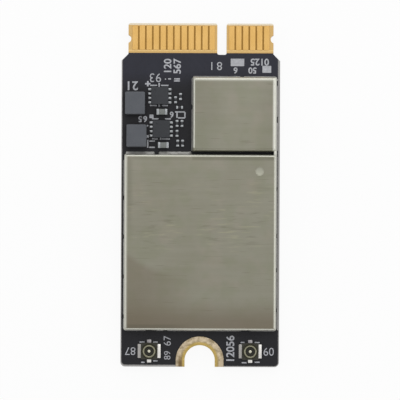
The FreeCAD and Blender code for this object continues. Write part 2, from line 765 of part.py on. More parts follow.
def make_card():
    main_can = ("main_can_left", "can_right", "main_can_rear", "main_can_front")
    small_can = ("small_can_left", "can_right", "small_can_rear", "small_can_front")
    nodes = [make_board(), make_screw_ring()]
    nodes.append(make_contacts("long_contact_bank", int(sizes.long_bank_count), "long_bank_left"))
    nodes.append(make_contacts("short_contact_bank", int(sizes.short_bank_count), "short_bank_left"))
    nodes.append(make_can("main_shield_can", *main_can))
    cut_orientation_mark(nodes[-1])
    nodes.append(make_can("small_shield_can", *small_can))
    nodes.append(make_can_solder("main_shield_solder", *main_can, ("left", "right", "front", "rear")))
    nodes.append(make_can_solder("small_shield_solder", *small_can, ("left", "right", "front")))
    nodes += make_socket("left_socket", "(-socket_x)")
    nodes += make_socket("right_socket", "socket_x")
    for row in ("upper", "lower"):
        nodes += make_inductor(f"{row}_inductor", f"{row}_inductor_x", f"{row}_inductor_y")
        nodes += make_regulator(f"{row}_regulator", f"{row}_regulator_x", f"{row}_regulator_y")
        nodes += make_chip_part(f"{row}_capacitor", "capacitor", f"{row}_capacitor_x",
                                f"{row}_capacitor_y", along_y=False)
    for number, (x, y, along_y) in enumerate(RESISTORS, 1):
        nodes += make_chip_part(f"chip_resistor_{number}", "resistor", x, y, along_y)
    nodes += make_main_can_chips()
    nodes += make_small_can_chips()
    doc.recompute()
    return nodes


def check(nodes):
    """Stops before anything is written if an object failed or a piece has no sound shape."""
    failed = [o.Name for o in doc.Objects if "Invalid" in o.State or "Error" in o.State]
    unsound = [n.Label for n in nodes if n.Shape.isNull() or not n.Shape.isValid() or not n.Shape.Solids]
    if failed or unsound:
        raise RuntimeError(f"failed objects {failed}, unsound pieces {unsound}")


def export(nodes):
    os.makedirs("parts", exist_ok=True)
    for node in nodes:
        node.Shape.exportStep(f"parts/{node.Label}.step")
        print(f"{node.Label}: {len(node.Shape.Solids)} solids, {node.Shape.Volume:.4f} mm3")


sizes = make_sheet()
places = make_places()
card = make_card()
check(card)
export(card)
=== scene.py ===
import json
import math
import bmesh
import bpy
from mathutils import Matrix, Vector


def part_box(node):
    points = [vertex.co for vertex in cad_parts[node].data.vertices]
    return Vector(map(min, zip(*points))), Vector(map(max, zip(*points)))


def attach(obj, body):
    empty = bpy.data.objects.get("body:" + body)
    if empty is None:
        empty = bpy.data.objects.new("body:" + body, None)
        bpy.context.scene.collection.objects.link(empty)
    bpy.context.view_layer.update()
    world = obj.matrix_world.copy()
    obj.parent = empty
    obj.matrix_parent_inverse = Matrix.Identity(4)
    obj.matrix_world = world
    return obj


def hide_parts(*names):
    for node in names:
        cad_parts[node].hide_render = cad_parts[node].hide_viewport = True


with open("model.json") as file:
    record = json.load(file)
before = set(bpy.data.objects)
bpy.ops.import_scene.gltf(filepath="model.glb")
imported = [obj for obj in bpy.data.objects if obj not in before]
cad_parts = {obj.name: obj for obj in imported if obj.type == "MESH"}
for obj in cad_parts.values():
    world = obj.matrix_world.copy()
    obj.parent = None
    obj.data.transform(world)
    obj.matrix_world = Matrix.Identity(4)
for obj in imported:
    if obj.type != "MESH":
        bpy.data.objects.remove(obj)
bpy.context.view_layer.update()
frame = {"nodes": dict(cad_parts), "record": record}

MM = 0.001
TINY = 1e-7
WHITE = (1.0, 1.0, 1.0, 1.0)


def corners(node):
    """A node's lowest and highest corners, in millimetres."""
    return [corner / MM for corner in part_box(node)]


# Board, in metres
BOARD_LOW, BOARD_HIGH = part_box("circuit_board")
BOARD_TOP = BOARD_HIGH.z
CARD_REAR = BOARD_LOW.y

# Places that pieces and their patterns share, in millimetres
HALF_WIDTH = BOARD_HIGH.x / MM
REAR_EDGE = BOARD_LOW.y / MM
TONGUE_TIP = BOARD_HIGH.y / MM
CORNER_RADIUS = 0.5
HEADER_REAR = 11.0
MASK_EDGE = 15.24
LONG_LOW, LONG_HIGH = corners("long_contact_bank")
SHORT_LOW, SHORT_HIGH = corners("short_contact_bank")
MAIN_LOW, MAIN_HIGH = corners("main_shield_can")
SMALL_LOW, SMALL_HIGH = corners("small_shield_can")
CAN_GAP_FRONT = SMALL_LOW.y
CAN_BRIDGE_LEFT = 7.84
CAN_MARK = (6.33, 2.54)
CAN_MARK_RADIUS = 0.45
SOCKET_LOW, SOCKET_HIGH = corners("right_socket_base")
SOCKET_X = (SOCKET_LOW.x + SOCKET_HIGH.x) / 2
COLLAR_PROUD = 0.01
COLLAR_TOP = SOCKET_HIGH.z + COLLAR_PROUD
NOTCH_Y = -17.73
NOTCH_RADIUS = 1.62
RING_RADIUS = 2.57


# Node trees

class Wire:
    """An output socket. Arithmetic on it adds Math nodes."""

    def __init__(self, nodes, socket):
        self.nodes = nodes
        self.socket = socket

    def other(self, name):
        """Another output of the same node."""
        return Wire(self.nodes, self.socket.node.outputs[name])

    def math(self, operation, *values):
        return self.nodes.add("ShaderNodeMath", {"operation": operation}, dict(enumerate(values)))

    def __add__(self, value):
        return self.math("ADD", self, value)

    def __sub__(self, value):
        return self.math("SUBTRACT", self, value)

    def __rsub__(self, value):
        return self.math("SUBTRACT", value, self)

    def __mul__(self, value):
        return self.math("MULTIPLY", self, value)

    def __gt__(self, value):
        return self.math("GREATER_THAN", self, value)

    def __lt__(self, value):
        return self.math("LESS_THAN", self, value)

    __radd__ = __add__
    __rmul__ = __mul__

    def __abs__(self):
        return self.math("ABSOLUTE", self)

    def at_least(self, value):
        return self.math("MAXIMUM", self, value)

    def root(self):
        return self.math("SQRT", self)

    def wave(self):
        return self.math("SINE", self)


def how_far(aside, ahead):
    """The distance across two legs at a right angle."""
    return (aside * aside + ahead * ahead).root()


def strongest(first, *others):
    """The highest of several masks."""
    for mask in others:
        first = first.at_least(mask)
    return first


class Nodes:
    """A node tree and the one way of adding a node to it."""

    def __init__(self, tree):
        self.tree = tree
        tree.nodes.clear()

    def add(self, kind, settings=None, values=None, output=0):
        """Adds a node with its settings and sockets; gives one of its outputs, if it has any."""
        node = self.tree.nodes.new(kind)
        for name, value in (settings or {}).items():
            setattr(node, name, value)
        for name, value in (values or {}).items():
            self.feed(node.inputs[name], value)
        return Wire(self, node.outputs[output]) if node.outputs else None

    def feed(self, socket, value):
        """Links a wire to a socket, or sets the socket to a plain value."""
        if isinstance(value, Wire):
            self.tree.links.new(value.socket, socket)
        else:
            socket.default_value = value

    def seen_ray(self):
        """1 for what is seen, also in a reflection or through glass."""
        path = self.add("ShaderNodeLightPath", output="Is Camera Ray")
        return strongest(path, path.other("Is Glossy Ray"), path.other("Is Transmission Ray"))


class Finish(Nodes):
    """A material whose patterns lie on the card's own coordinates, in millimetres."""

    def __init__(self, name, metallic=0.0, specular=0.5):
        self.material = bpy.data.materials.new(name)
        self.material.use_nodes = True
        super().__init__(self.material.node_tree)
        self.constants = {"Metallic": metallic, "Specular IOR Level": specular}
        metres = self.add("ShaderNodeTexCoord", output="Object")
        self.place = self.add("ShaderNodeVectorMath", {"operation": "SCALE"}, {0: metres, "Scale": 1 / MM})

    def coat(self, colour, roughness, height=0.0, depth=0.0):
        """Gives the material its shader, with bump of that depth in millimetres."""
        sockets = {"Base Color": colour, "Roughness": roughness, **self.constants}
        if depth:
            bump = {"Height": height, "Distance": depth * MM, "Strength": 1.0}
            sockets["Normal"] = self.add("ShaderNodeBump", values=bump)
        surface = self.add("ShaderNodeBsdfPrincipled", values=sockets, output="BSDF")
        self.add("ShaderNodeOutputMaterial", values={"Surface": surface})
        return self.material

    def axis(self, name):
        """The place along X, Y or Z."""
        return self.add("ShaderNodeSeparateXYZ", values={0: self.place}, output=name)

    def upward(self):
        """1 where the surface faces straight up, 0 on a wall and -1 underneath."""
        normal = self.add("ShaderNodeNewGeometry", output="Normal")
        return self.add("ShaderNodeSeparateXYZ", values={0: normal}, output="Z")

    def grain(self, scale, detail=2.0, along_x=1.0, along_y=1.0):
        """Noise with that many cells a millimetre; a share below 1 pulls it out along an axis."""
        stretch = {"Vector": self.place, "Scale": (along_x, along_y, 1.0)}
        noise = {"Vector": self.add("ShaderNodeMapping", values=stretch), "Scale": scale, "Detail": detail}
        return self.add("ShaderNodeTexNoise", values=noise, output="Fac")

    def ramp(self, value, start, full):
        """0 up to the start, 1 from full on and smooth between; the start may be the larger."""
        steps = {"Value": value, "From Min": start, "From Max": full}
        return self.add("ShaderNodeMapRange", {"interpolation_type": "SMOOTHSTEP"}, steps)

    def blend(self, share, first, second):
        """The second colour over the first, by its share."""
        return self.add("ShaderNodeMix", {"data_type": "RGBA"}, {0: share, 6: first, 7: second}, 2)

    def glaze(self, colour, *coats):
        """Coats laid over a colour in turn, each a share and a colour."""
        for share, coat in coats:
            colour = self.blend(share, colour, coat)
        return colour


def paint(red, green, blue):
    """A colour given as it looks on a screen, 0 to 255, for a colour socket."""
    def linear(level):
        level /= 255
        return level / 12.92 if level <= 0.04045 else ((level + 0.055) / 1.055) ** 2.4
    return (linear(red), linear(green), linear(blue), 1.0)


# Board finish: bands in millimetres, cells and radians of a wave to a millimetre
HEADER_FADE = 2.5
HIDDEN_VIA_CELLS = 0.55
HIDDEN_VIA_EDGE = (0.1, 0.08)
HIDDEN_VIA_MARGIN = 0.5
RIM_HIGHLIGHT_WIDTH = 0.1
RIM_HIGHLIGHT_AT_CANS = 0.12
RIM_HIGHLIGHT_AT_TAIL = 0.1
RIM_HIGHLIGHT_WANDER = 0.08
FOOT_HIGHLIGHT_LINE = 0.13
TIP_HIGHLIGHT_BAND = 0.2
LAYER_WAVES = 31.4
WEAVE_WAVES = 9.0


def mask_tones(finish, x, y, up, cloud, fine):
    """Black mask, bluer at the header, with vias hidden underneath and a pale rim painted along the board's
    edge as a highlight.
    """
    mask = finish.blend(cloud, paint(17, 17, 19), paint(28, 28, 31))
    header = finish.blend(cloud, paint(34, 35, 44), paint(47, 48, 58))
    cells = {"Vector": finish.place, "Scale": HIDDEN_VIA_CELLS, "Randomness": 0.8}
    from_via = finish.add("ShaderNodeTexVoronoi", {"voronoi_dimensions": "2D"}, cells, "Distance")
    vias = finish.ramp(from_via, *HIDDEN_VIA_EDGE) * (up < 0.0) * (y < MASK_EDGE - HIDDEN_VIA_MARGIN)
    # The pale rim is a painted highlight where the board's cut edge would catch light.
    beside_cans = (x > 0.0) * (y > MAIN_LOW.y)
    side = (abs(x) + RIM_HIGHLIGHT_AT_CANS * beside_cans - HALF_WIDTH + CORNER_RADIUS).at_least(0.0)
    tail = (REAR_EDGE + CORNER_RADIUS + RIM_HIGHLIGHT_AT_TAIL * (x < 0.0) - y).at_least(0.0)
    rim = finish.ramp(how_far(side, tail) + RIM_HIGHLIGHT_WANDER * fine, CORNER_RADIUS - RIM_HIGHLIGHT_WIDTH, CORNER_RADIUS)
    return finish.glaze(
        mask,
        (finish.ramp(y, HEADER_REAR, HEADER_REAR + HEADER_FADE), header),
        (fine * 0.3, paint(52, 52, 58)),
        (vias * 0.5, paint(66, 66, 72)),
        (rim * 0.88, paint(174, 172, 170)),
    )


def tongue_tones(finish, x, y, cloud):
    """Gilt tongue: painted shade in the grooves between the contacts, a painted highlight at their feet and
    a pale tip painted as a reflection of its bevel.
    """
    gilt = finish.blend(cloud, paint(214, 174, 106), paint(226, 188, 124))
    in_long = (x > LONG_LOW.x) * (x < LONG_HIGH.x)
    in_short = (x > SHORT_LOW.x) * (x < SHORT_HIGH.x)
    painted_groove_shade = (in_long + in_short) * (y > LONG_LOW.y) * (y < LONG_HIGH.y)
    painted_feet_highlight = (y > LONG_LOW.y - FOOT_HIGHLIGHT_LINE) * (y < LONG_LOW.y)
    # Painted shade darkens the grooves; painted highlights brighten the line at the contacts' feet and the
    # tip.
    return finish.glaze(
        gilt,
        (painted_groove_shade, paint(164, 123, 54)),
        (painted_feet_highlight, paint(242, 206, 140)),
        (y > TONGUE_TIP - TIP_HIGHLIGHT_BAND, paint(224, 212, 188)),
    )


def board_finish():
    """Masked board with a gilt tongue on top and layered laminate at its cut edge."""
    finish = Finish("black_mask_on_laminate", specular=0.2)
    x, y, z = finish.axis("X"), finish.axis("Y"), finish.axis("Z")
    up = finish.upward()
    flat = finish.ramp(abs(up), 0.3, 0.7)
    tongue = y > MASK_EDGE
    cloud = finish.grain(0.35, detail=3.0)
    fine = finish.grain(6.0)
    weave = (x * WEAVE_WAVES).wave() * (y * WEAVE_WAVES).wave()
    mask = mask_tones(finish, x, y, up, cloud, fine)
    face = finish.blend(tongue * (up > 0.0), mask, tongue_tones(finish, x, y, cloud))
    plies = finish.ramp((z * LAYER_WAVES).wave(), 0.5, 0.95)
    board_edge = finish.blend(plies, paint(74, 71, 68), paint(112, 104, 92))
    tongue_edge = finish.blend(plies, paint(170, 140, 92), paint(120, 96, 58))
    return finish.coat(
        finish.blend(flat, finish.blend(tongue, board_edge, tongue_edge), face),
        roughness=0.36 + 0.16 * cloud + 0.1 * fine,
        height=weave * 0.25 + fine * 0.5, depth=0.006,
    )


# Can finish: places and distances in millimetres, from where a tone starts to where it is full
WIPE_MIDDLE = -2.4
WIPE_REACH = (5.2, 1.5)
CAN_SPLIT = CAN_GAP_FRONT - 0.1
REAR_BROWN_SHADE = (-10.4, -14.0)
LIT_PATCH_CENTRE = (-1.0, 2.0)
LIT_PATCH_EDGE = (10.3, 11.2)
LEFT_BROWN_SHADE = (0.0, -7.0)
LEFT_SHADE = (1.1, 0.5)
LEFT_SHADE_RISE = (-6.0, 0.0)
BEND_SHADE = (0.72, 0.5)
REAR_SHADE_RISE = (0.0, -4.0)
SMALL_LEFT_SHADE = (4.0, 0.8)
SMALL_RIGHT_SHADE = (2.5, 0.6)
MARK_SOFT_EDGE = 0.12
LEFT_HIGHLIGHT_BAND = (0.42, 0.24)
RIGHT_HIGHLIGHT_BAND = (0.36, 0.22)
SMALL_HIGHLIGHT_SHIFT = 0.13
FRONT_HIGHLIGHT_BAND = (0.56, 0.26)
GAP_DEPTH = 0.4
BEND_TURN = (0.995, 0.86)


def rolled_tones(finish, y, streak):
    """Rolled sheet: cloudy, tarnished, streaked and scratched along X, wiped across its middle."""
    sheet = finish.blend(finish.grain(0.22, detail=3.0), paint(116, 112, 98), paint(130, 130, 117))
    tarnish = finish.ramp(finish.grain(0.55), 0.4, 0.65)
    blush = finish.ramp(finish.grain(0.4), 0.5, 0.7)
    scratch = finish.ramp(finish.grain(4.5, detail=1.0, along_x=0.07), 0.68, 0.76)
    patches = finish.ramp(finish.grain(0.3, detail=1.0), 0.4, 0.6)
    wiped = finish.ramp(abs(y - WIPE_MIDDLE), *WIPE_REACH) * patches * 0.36
    wipe = finish.grain(3.4, along_x=0.13)
    return finish.glaze(
        sheet,
        (streak * 0.5, paint(140, 138, 126)),
        (tarnish * 0.2, paint(112, 117, 92)),
        (blush * 0.2, paint(142, 131, 122)),
        (scratch * 0.3, paint(98, 95, 80)),
        (finish.ramp(wipe, 0.56, 0.7) * wiped, paint(152, 149, 126)),
        (finish.ramp(wipe, 0.44, 0.3) * wiped, paint(100, 98, 84)),
    )


def can_finish():
    """Satin sheet of both cans: painted shade, brown toward the rear and left and darker beside the bends;
    a painted highlight on the bends.
    """
    finish = Finish("rolled_can_sheet", metallic=1.0)
    x, y = finish.axis("X"), finish.axis("Y")
    streak = finish.grain(2.2, detail=3.0, along_x=0.05)
    fine_streak = finish.grain(9.0, along_x=0.03)
    on_small = y > CAN_SPLIT
    on_main = 1.0 - on_small
    from_left = x - MAIN_LOW.x * on_main - SMALL_LOW.x * on_small
    from_right = MAIN_HIGH.x - x
    from_front = MAIN_HIGH.y * on_main + SMALL_HIGH.y * on_small - y
    from_rear = y - MAIN_LOW.y

    # Painted shade: the sheet darkens and browns toward the rear and the left, outside a lit patch.
    rear_painted_shade = finish.ramp(y, *REAR_BROWN_SHADE) * 0.72
    past_lit_patch = finish.ramp(how_far(x - LIT_PATCH_CENTRE[0], y - LIT_PATCH_CENTRE[1]), *LIT_PATCH_EDGE)
    left_painted_shade = past_lit_patch * finish.ramp(x, *LEFT_BROWN_SHADE) * (y < 0.0) * 0.45
    painted_brown_shade = 1.0 - (1.0 - rear_painted_shade) * (1.0 - left_painted_shade)

    # Painted shade in bands beside the bends, on the cans' flat tops.
    left_shade = finish.ramp(from_left, *LEFT_SHADE) * on_main * finish.ramp(y, *LEFT_SHADE_RISE) * 0.6
    front_shade = finish.ramp(from_front, *BEND_SHADE) * on_main * (0.4 + 0.6 * (x > SMALL_LOW.x))
    rear_shade = finish.ramp(from_rear, *BEND_SHADE) * finish.ramp(x, *REAR_SHADE_RISE)
    small_left = finish.ramp(from_left, *SMALL_LEFT_SHADE)
    small_right = finish.ramp(from_right, *SMALL_RIGHT_SHADE) * 0.6
    side_shade = on_small * strongest(small_left, small_right) * 0.4
    shaded = strongest(left_shade, front_shade, rear_shade, side_shade)

    from_mark = how_far(x - CAN_MARK[0], y - CAN_MARK[1])
    mark = finish.ramp(from_mark, CAN_MARK_RADIUS, CAN_MARK_RADIUS - MARK_SOFT_EDGE)

    # Painted highlight on the bends: paler as the surface turns down and in bands along the edges, left out
    # in the shade of the gap between the cans.
    left_bend_highlight = finish.ramp(from_left, *LEFT_HIGHLIGHT_BAND) * on_main * 0.7
    right_bend_highlight = finish.ramp(from_right - SMALL_HIGHLIGHT_SHIFT * on_small, *RIGHT_HIGHLIGHT_BAND) * (0.6 + 0.6 * on_small)
    front_bend_highlight = finish.ramp(from_front, *FRONT_HIGHLIGHT_BAND) * on_small * 0.7
    gap_without_highlight = (y > CAN_GAP_FRONT) * (y < CAN_GAP_FRONT + GAP_DEPTH) * (x < CAN_BRIDGE_LEFT)
    bend = finish.ramp(finish.upward(), *BEND_TURN) * (1.0 - gap_without_highlight)
    painted_bend_highlight = strongest(bend, left_bend_highlight, right_bend_highlight, front_bend_highlight)

    return finish.coat(
        finish.glaze(
            rolled_tones(finish, y, streak),
            (painted_brown_shade, paint(104, 95, 82)),
            (shaded * 0.35, paint(80, 79, 67)),
            (mark * 0.8, paint(156, 156, 143)),
            (painted_bend_highlight * 0.8, paint(182, 182, 173)),
        ),
        roughness=0.4 + 0.12 * fine_streak,
        height=fine_streak + 0.5 * streak, depth=0.0025,
    )


# Plated and soldered finishes: places in millimetres
TAB_SPLIT = 0.4
COLLAR_FADE = 0.1
SOLDERED_TAIL = (1.2, 1.1)
BRIDGE_HIGHLIGHT = (1.5, 2.0)


def plated_finish(name, dark, light, roughness, depth, cloud=(2.5, 3.0), fine=14.0, wander=0.2, patch=None):
    """Cloudy metal with a fine grain; patch gives the share and colour of what lies over it."""
    finish = Finish(name, metallic=1.0)
    skin = finish.grain(fine)
    colour = finish.blend(finish.grain(*cloud), paint(*dark), paint(*light))
    if patch:
        colour = finish.glaze(colour, patch(finish))
    return finish.coat(
        colour,
        roughness=roughness + wander * skin,
        height=skin, depth=depth,
    )


def painted_left_tab_shade(finish):
    """Painted shade on the left tab of each socket, broken up unevenly."""
    x = finish.axis("X")
    left_tabs = (x < -SOCKET_X - TAB_SPLIT) + (x > 0.0) * (x < SOCKET_X - TAB_SPLIT)
    return left_tabs * (0.5 + 0.4 * finish.grain(2.5, detail=3.0)), paint(128, 125, 122)


def dark_collar(finish):
    """The low collar at the foot of a socket's ring."""
    collar = finish.ramp(finish.axis("Z"), COLLAR_TOP + COLLAR_FADE, COLLAR_TOP)
    return collar, paint(54, 53, 44)


def soldered_tail(finish):
    """The low tail of a socket's contact, dulled by solder."""
    return finish.ramp(finish.axis("Z"), *SOLDERED_TAIL), paint(140, 137, 138)


def solder_finish():
    """Dull reflowed solder with a grainy skin, and a painted highlight where it stands high between the
    cans.
    """
    finish = Finish("reflowed_solder", metallic=0.3)
    cloud = finish.grain(1.6, detail=3.0)
    fine = finish.grain(9.0)
    skin = finish.blend(cloud, paint(118, 117, 115), paint(186, 185, 181))
    return finish.coat(
        finish.blend(finish.ramp(finish.axis("Z"), *BRIDGE_HIGHLIGHT), skin, paint(208, 208, 198)),
        roughness=0.42 + 0.22 * fine,
        height=fine + cloud, depth=0.012,
    )


def contact_finish():
    """Gold-plated contacts with fine wipe marks along their length."""
    finish = Finish("gold_contacts", metallic=1.0)
    cloud = finish.grain(0.7)
    wipe = finish.grain(10.0, along_y=0.06)
    gold = finish.blend(cloud, paint(190, 150, 84), paint(204, 167, 104))
    return finish.coat(
        finish.blend(finish.ramp(wipe, 0.55, 0.75) * 0.3, gold, paint(218, 182, 120)),
        roughness=0.36 + 0.14 * wipe,
        height=wipe, depth=0.003,
    )


# Ground ring finish: distances from the notch's centre line in millimetres
RING_BAND_CHANGE = (1.82, 2.1)
RING_CREST = 2.16
RING_CREST_REACH = (0.24, 0.02)
RING_DARK_RADIUS = 2.08
RING_DARK_REACH = (0.3, 0.1)
RING_LEG = (NOTCH_Y + 1.0, NOTCH_Y - 0.2)


def ring_finish():
    """Plated ring, its bands painted as the light and shade of a rounded profile: a warm darker inner band,
    a paler outer band with a pale mottled painted highlight along its crest, and darker at the left leg.
    """
    finish = Finish("plated_ground_ring", metallic=1.0)
    x, y = finish.axis("X"), finish.axis("Y")
    from_notch = how_far(x, (y - NOTCH_Y).at_least(0.0))
    cloud = finish.grain(1.4, detail=3.0)
    mottle = finish.ramp(finish.grain(2.0, detail=3.0), 0.35, 0.65)
    fine = finish.grain(8.0)
    inner = finish.blend(cloud, paint(154, 131, 70), paint(188, 164, 102))
    outer = finish.blend(mottle, paint(139, 125, 99), paint(180, 165, 141))
    crest_highlight = finish.ramp(abs(from_notch - RING_CREST), *RING_CREST_REACH) * (0.3 + 0.7 * mottle)
    leg = finish.ramp(y, *RING_LEG) * (0.15 + 0.85 * (x < 0.0))
    darkened_leg = finish.ramp(abs(from_notch - RING_DARK_RADIUS), *RING_DARK_REACH) * leg
    return finish.coat(
        finish.glaze(
            inner,
            (finish.ramp(from_notch, *RING_BAND_CHANGE), outer),
            (crest_highlight, paint(193, 177, 149)),
            (darkened_leg * 0.9, paint(108, 88, 58)),
        ),
        roughness=0.3 + 0.2 * fine,
        height=fine + mottle, depth=0.015,
    )


# Mouldings and ink

def moulding_finish(name, dark, light, speck, roughness):
    """A dull moulding with fine filler specks."""
    finish = Finish(name, specular=0.35)
    cloud = finish.grain(0.9, detail=3.0)
    fine = finish.grain(13.0)
    body = finish.blend(cloud, paint(*dark), paint(*light))
    return finish.coat(
        finish.blend(finish.ramp(fine, 0.55, 0.75) * 0.4, body, paint(*speck)),
        roughness=roughness + 0.14 * fine,
        height=fine, depth=0.008,
    )


def ink_finish():
    """Screen-printed ink, thin in places."""
    finish = Finish("pale_printed_ink", specular=0.3)
    cloud = finish.grain(3.0)
    fine = finish.grain(18.0)
    solid = finish.blend(cloud, paint(150, 152, 158), paint(206, 207, 212))
    return finish.coat(
        finish.blend(finish.ramp(fine, 0.6, 0.75) * 0.3, solid, paint(96, 97, 103)),
        roughness=0.6 + 0.15 * fine,
    )


board_mask = board_finish()
can_sheet = can_finish()
solder = solder_finish()
gold_contacts = contact_finish()
ground_ring = ring_finish()
ink = ink_finish()
tin = plated_finish("bright_tin", (121, 124, 127), (164, 166, 168), 0.26, 0.006)
# Painted shade: the inductors' clips are near black so that they show as the shade under the inductors'
# ends.
shade_dark_clip_metal = plated_finish(
    "painted_shade_clip_metal", (48, 48, 52), (74, 73, 75), 0.4, 0.006, cloud=(2.0, 3.0), fine=12.0)
bright_tabs = plated_finish(
    "tinned_socket_tabs", (196, 194, 190), (226, 224, 219), 0.24, 0.002, patch=painted_left_tab_shade)
gilt_ring = plated_finish(
    "dull_gilt_ring", (108, 107, 88), (146, 144, 124), 0.3, 0.004,
    cloud=(2.0, 2.0), fine=12.0, wander=0.18, patch=dark_collar)
gilt_contact = plated_finish(
    "pale_gilt_contact", (176, 174, 157), (204, 202, 184), 0.26, 0.006, patch=soldered_tail)
socket_plastic = moulding_finish("olive_socket_moulding", (38, 37, 31), (54, 53, 44), (78, 76, 64), 0.5)
inductor_mould = moulding_finish("pressed_iron_powder", (78, 81, 87), (92, 95, 100), (114, 117, 122), 0.55)
chip_mould = moulding_finish("chip_moulding", (36, 38, 42), (47, 49, 53), (66, 69, 74), 0.5)
capacitor_body = moulding_finish(
    "capacitor_ceramic", (112, 116, 114), (128, 131, 128), (142, 144, 140), 0.45)
resistor_body = moulding_finish("resistor_overcoat", (34, 35, 39), (44, 45, 49), (60, 61, 66), 0.4)
white_ceramic = moulding_finish("white_ceramic", (214, 210, 202), (228, 225, 218), (198, 194, 184), 0.5)
thermal_filler = moulding_finish("soft_grey_filler", (148, 156, 164), (164, 172, 178), (134, 142, 150), 0.7)

SLOT_FINISHES = dict(
    board_mask=board_mask, gold_plating=gold_contacts, can_sheet=can_sheet, tin=tin,
    socket_plastic=socket_plastic, inductor_mould=inductor_mould, chip_mould=chip_mould,
    capacitor_body=capacitor_body, resistor_body=resistor_body,
    white_ceramic=white_ceramic, thermal_filler=thermal_filler,
)


# Handling of one piece at a time

SMOOTH_ANGLE = math.radians(35)
SHARP_ANGLE = 0.3
ALIGNED = 0.9
MARK_FOOT_SHARE = 0.7


def hold(piece):
    """Object mode with only this piece selected."""
    if bpy.context.mode != "OBJECT":
        bpy.ops.object.mode_set(mode="OBJECT")
    bpy.ops.object.select_all(action="DESELECT")
    if piece is not None:
        piece.select_set(True)
        bpy.context.view_layer.objects.active = piece


def named(name):
    """The primitive just added, with its place put into its mesh."""
    piece = bpy.context.object
    piece.name = piece.data.name = name
    bpy.ops.object.transform_apply()
    return piece


def block(name, low, high):
    """A box between two corners."""
    hold(None)
    low, high = Vector(low), Vector(high)
    bpy.ops.mesh.primitive_cube_add(size=1, location=(low + high) / 2, scale=high - low)
    return named(name)


def disc(name, centre, radius, bottom, top, sides=40):
    """An upright cylinder between two heights."""
    hold(None)
    place = (centre[0], centre[1], (bottom + top) / 2)
    bpy.ops.mesh.primitive_cylinder_add(vertices=sides, radius=radius, depth=top - bottom, location=place)
    return named(name)


def pick(piece, kind, test):
    """Edit mode with the faces, edges or corners that pass the test selected."""
    hold(piece)
    bpy.ops.object.mode_set(mode="EDIT")
    bpy.ops.mesh.select_mode(type=kind)
    bpy.ops.mesh.select_all(action="DESELECT")
    mesh = bmesh.from_edit_mesh(piece.data)
    for item in {"VERT": mesh.verts, "EDGE": mesh.edges, "FACE": mesh.faces}[kind]:
        if test(item):
            item.select_set(True)
    mesh.select_flush_mode()
    bmesh.update_edit_mesh(piece.data)


def every(item):
    return True


def middle(edge):
    return (edge.verts[0].co + edge.verts[1].co) / 2


def along(edge):
    return (edge.verts[1].co - edge.verts[0].co).normalized()


def upright(edge):
    return abs(along(edge).z) > ALIGNED


def faces_up(face):
    return face.normal.z > ALIGNED


def faces_down(face):
    return face.normal.z < -ALIGNED


def extrude(move):
    """Draws out what is selected."""
    bpy.ops.mesh.extrude_region_move(TRANSFORM_OT_translate={"value": move})


def close_up():
    """Merges the doubles of the mesh in hand and turns its faces outwards."""
    bpy.ops.mesh.select_all(action="SELECT")
    bpy.ops.mesh.remove_doubles(threshold=TINY)
    bpy.ops.mesh.normals_make_consistent(inside=False)


def round_off(piece, test, width, segments=3, profile=0.5):
    """Bevels the edges that pass the test."""
    pick(piece, "EDGE", test)
    bpy.ops.mesh.bevel(offset=width, segments=segments, profile=profile, affect="EDGES")


def round_rim(piece, height, width, segments=3):
    """Bevels the edges at one height where two faces meet at a clear angle."""
    def on_rim(edge):
        level = all(abs(vert.co.z - height) < TINY for vert in edge.verts)
        return level and len(edge.link_faces) == 2 and edge.calc_face_angle() > SHARP_ANGLE
    round_off(piece, on_rim, width, segments)


def soft_block(name, low, high, rounding, segments=2):
    """A box rounded by a pair of widths: its upright corners, then its top rim."""
    piece = block(name, low, high)
    corner, rim = rounding
    if corner:
        round_off(piece, upright, corner, segments + 1)
    round_rim(piece, high[2], rim, segments)
    return piece


def apply_modifier(piece, kind, **settings):
    """Adds a modifier with its settings and applies it."""
    hold(piece)
    modifier = piece.modifiers.new(kind.lower(), kind)
    for name, value in settings.items():
        setattr(modifier, name, value)
    bpy.ops.object.modifier_apply(modifier=modifier.name)


def join(name, pieces):
    """Several pieces made one, under a new name."""
    hold(pieces[0])
    for piece in pieces:
        piece.select_set(True)
    bpy.ops.object.join()
    pieces[0].name = pieces[0].data.name = name
    return pieces[0]


def copy_of(piece, name, move):
    """A copy with a mesh of its own, moved into its place."""
    hold(piece)
    bpy.ops.object.duplicate(linked=False)
    twin = bpy.context.object
    twin.name = twin.data.name = name
    twin.location = move
    bpy.ops.object.transform_apply()
    return twin


def sink_mark(piece, centre, radius, top, depth):
    """A shallow round mark with a rounded foot, pressed into a flat top."""
    cutter = disc("mark_punch", centre, radius, top - depth, top + depth)
    round_rim(cutter, top - depth, depth * MARK_FOOT_SHARE)
    apply_modifier(piece, "BOOLEAN", operation="DIFFERENCE", object=cutter)
    bpy.data.objects.remove(cutter)


def dress(piece, finish, slot, *nodes, smooth=SMOOTH_ANGLE):
    """Shades a piece, gives it its finish and sets it in place of its CAD nodes."""
    hold(piece)
    bpy.ops.object.shade_smooth_by_angle(angle=smooth)
    apply_modifier(piece, "WEIGHTED_NORMAL", keep_sharp=True)
    piece.data.materials.clear()
    piece.data.materials.append(finish)
    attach(piece, "root")
    if nodes:
        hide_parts(*nodes)


def fit_copies(places, anchor, parts):
    """Dresses parts modelled at the first place, then copies at the others; {} stands for the place."""
    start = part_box(anchor.format(places[0]))[0]
    for place in reversed(places):
        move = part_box(anchor.format(place))[0] - start
        for piece, name, finish, slot, node in parts:
            fitted = piece if place == places[0] else copy_of(piece, name.format(place), move)
            fitted.name = fitted.data.name = name.format(place)
            dress(fitted, finish, slot, node.format(place))


# Contacts and ground ring

CONTACT_PITCH = 0.75 * MM
CONTACT_COUNTS = {"long": 12, "short": 6}
CONTACT_ROUND = (0.06 * MM, 0.018 * MM)
RING_RIM = 0.035 * MM
RING_TURN_STEPS = 48


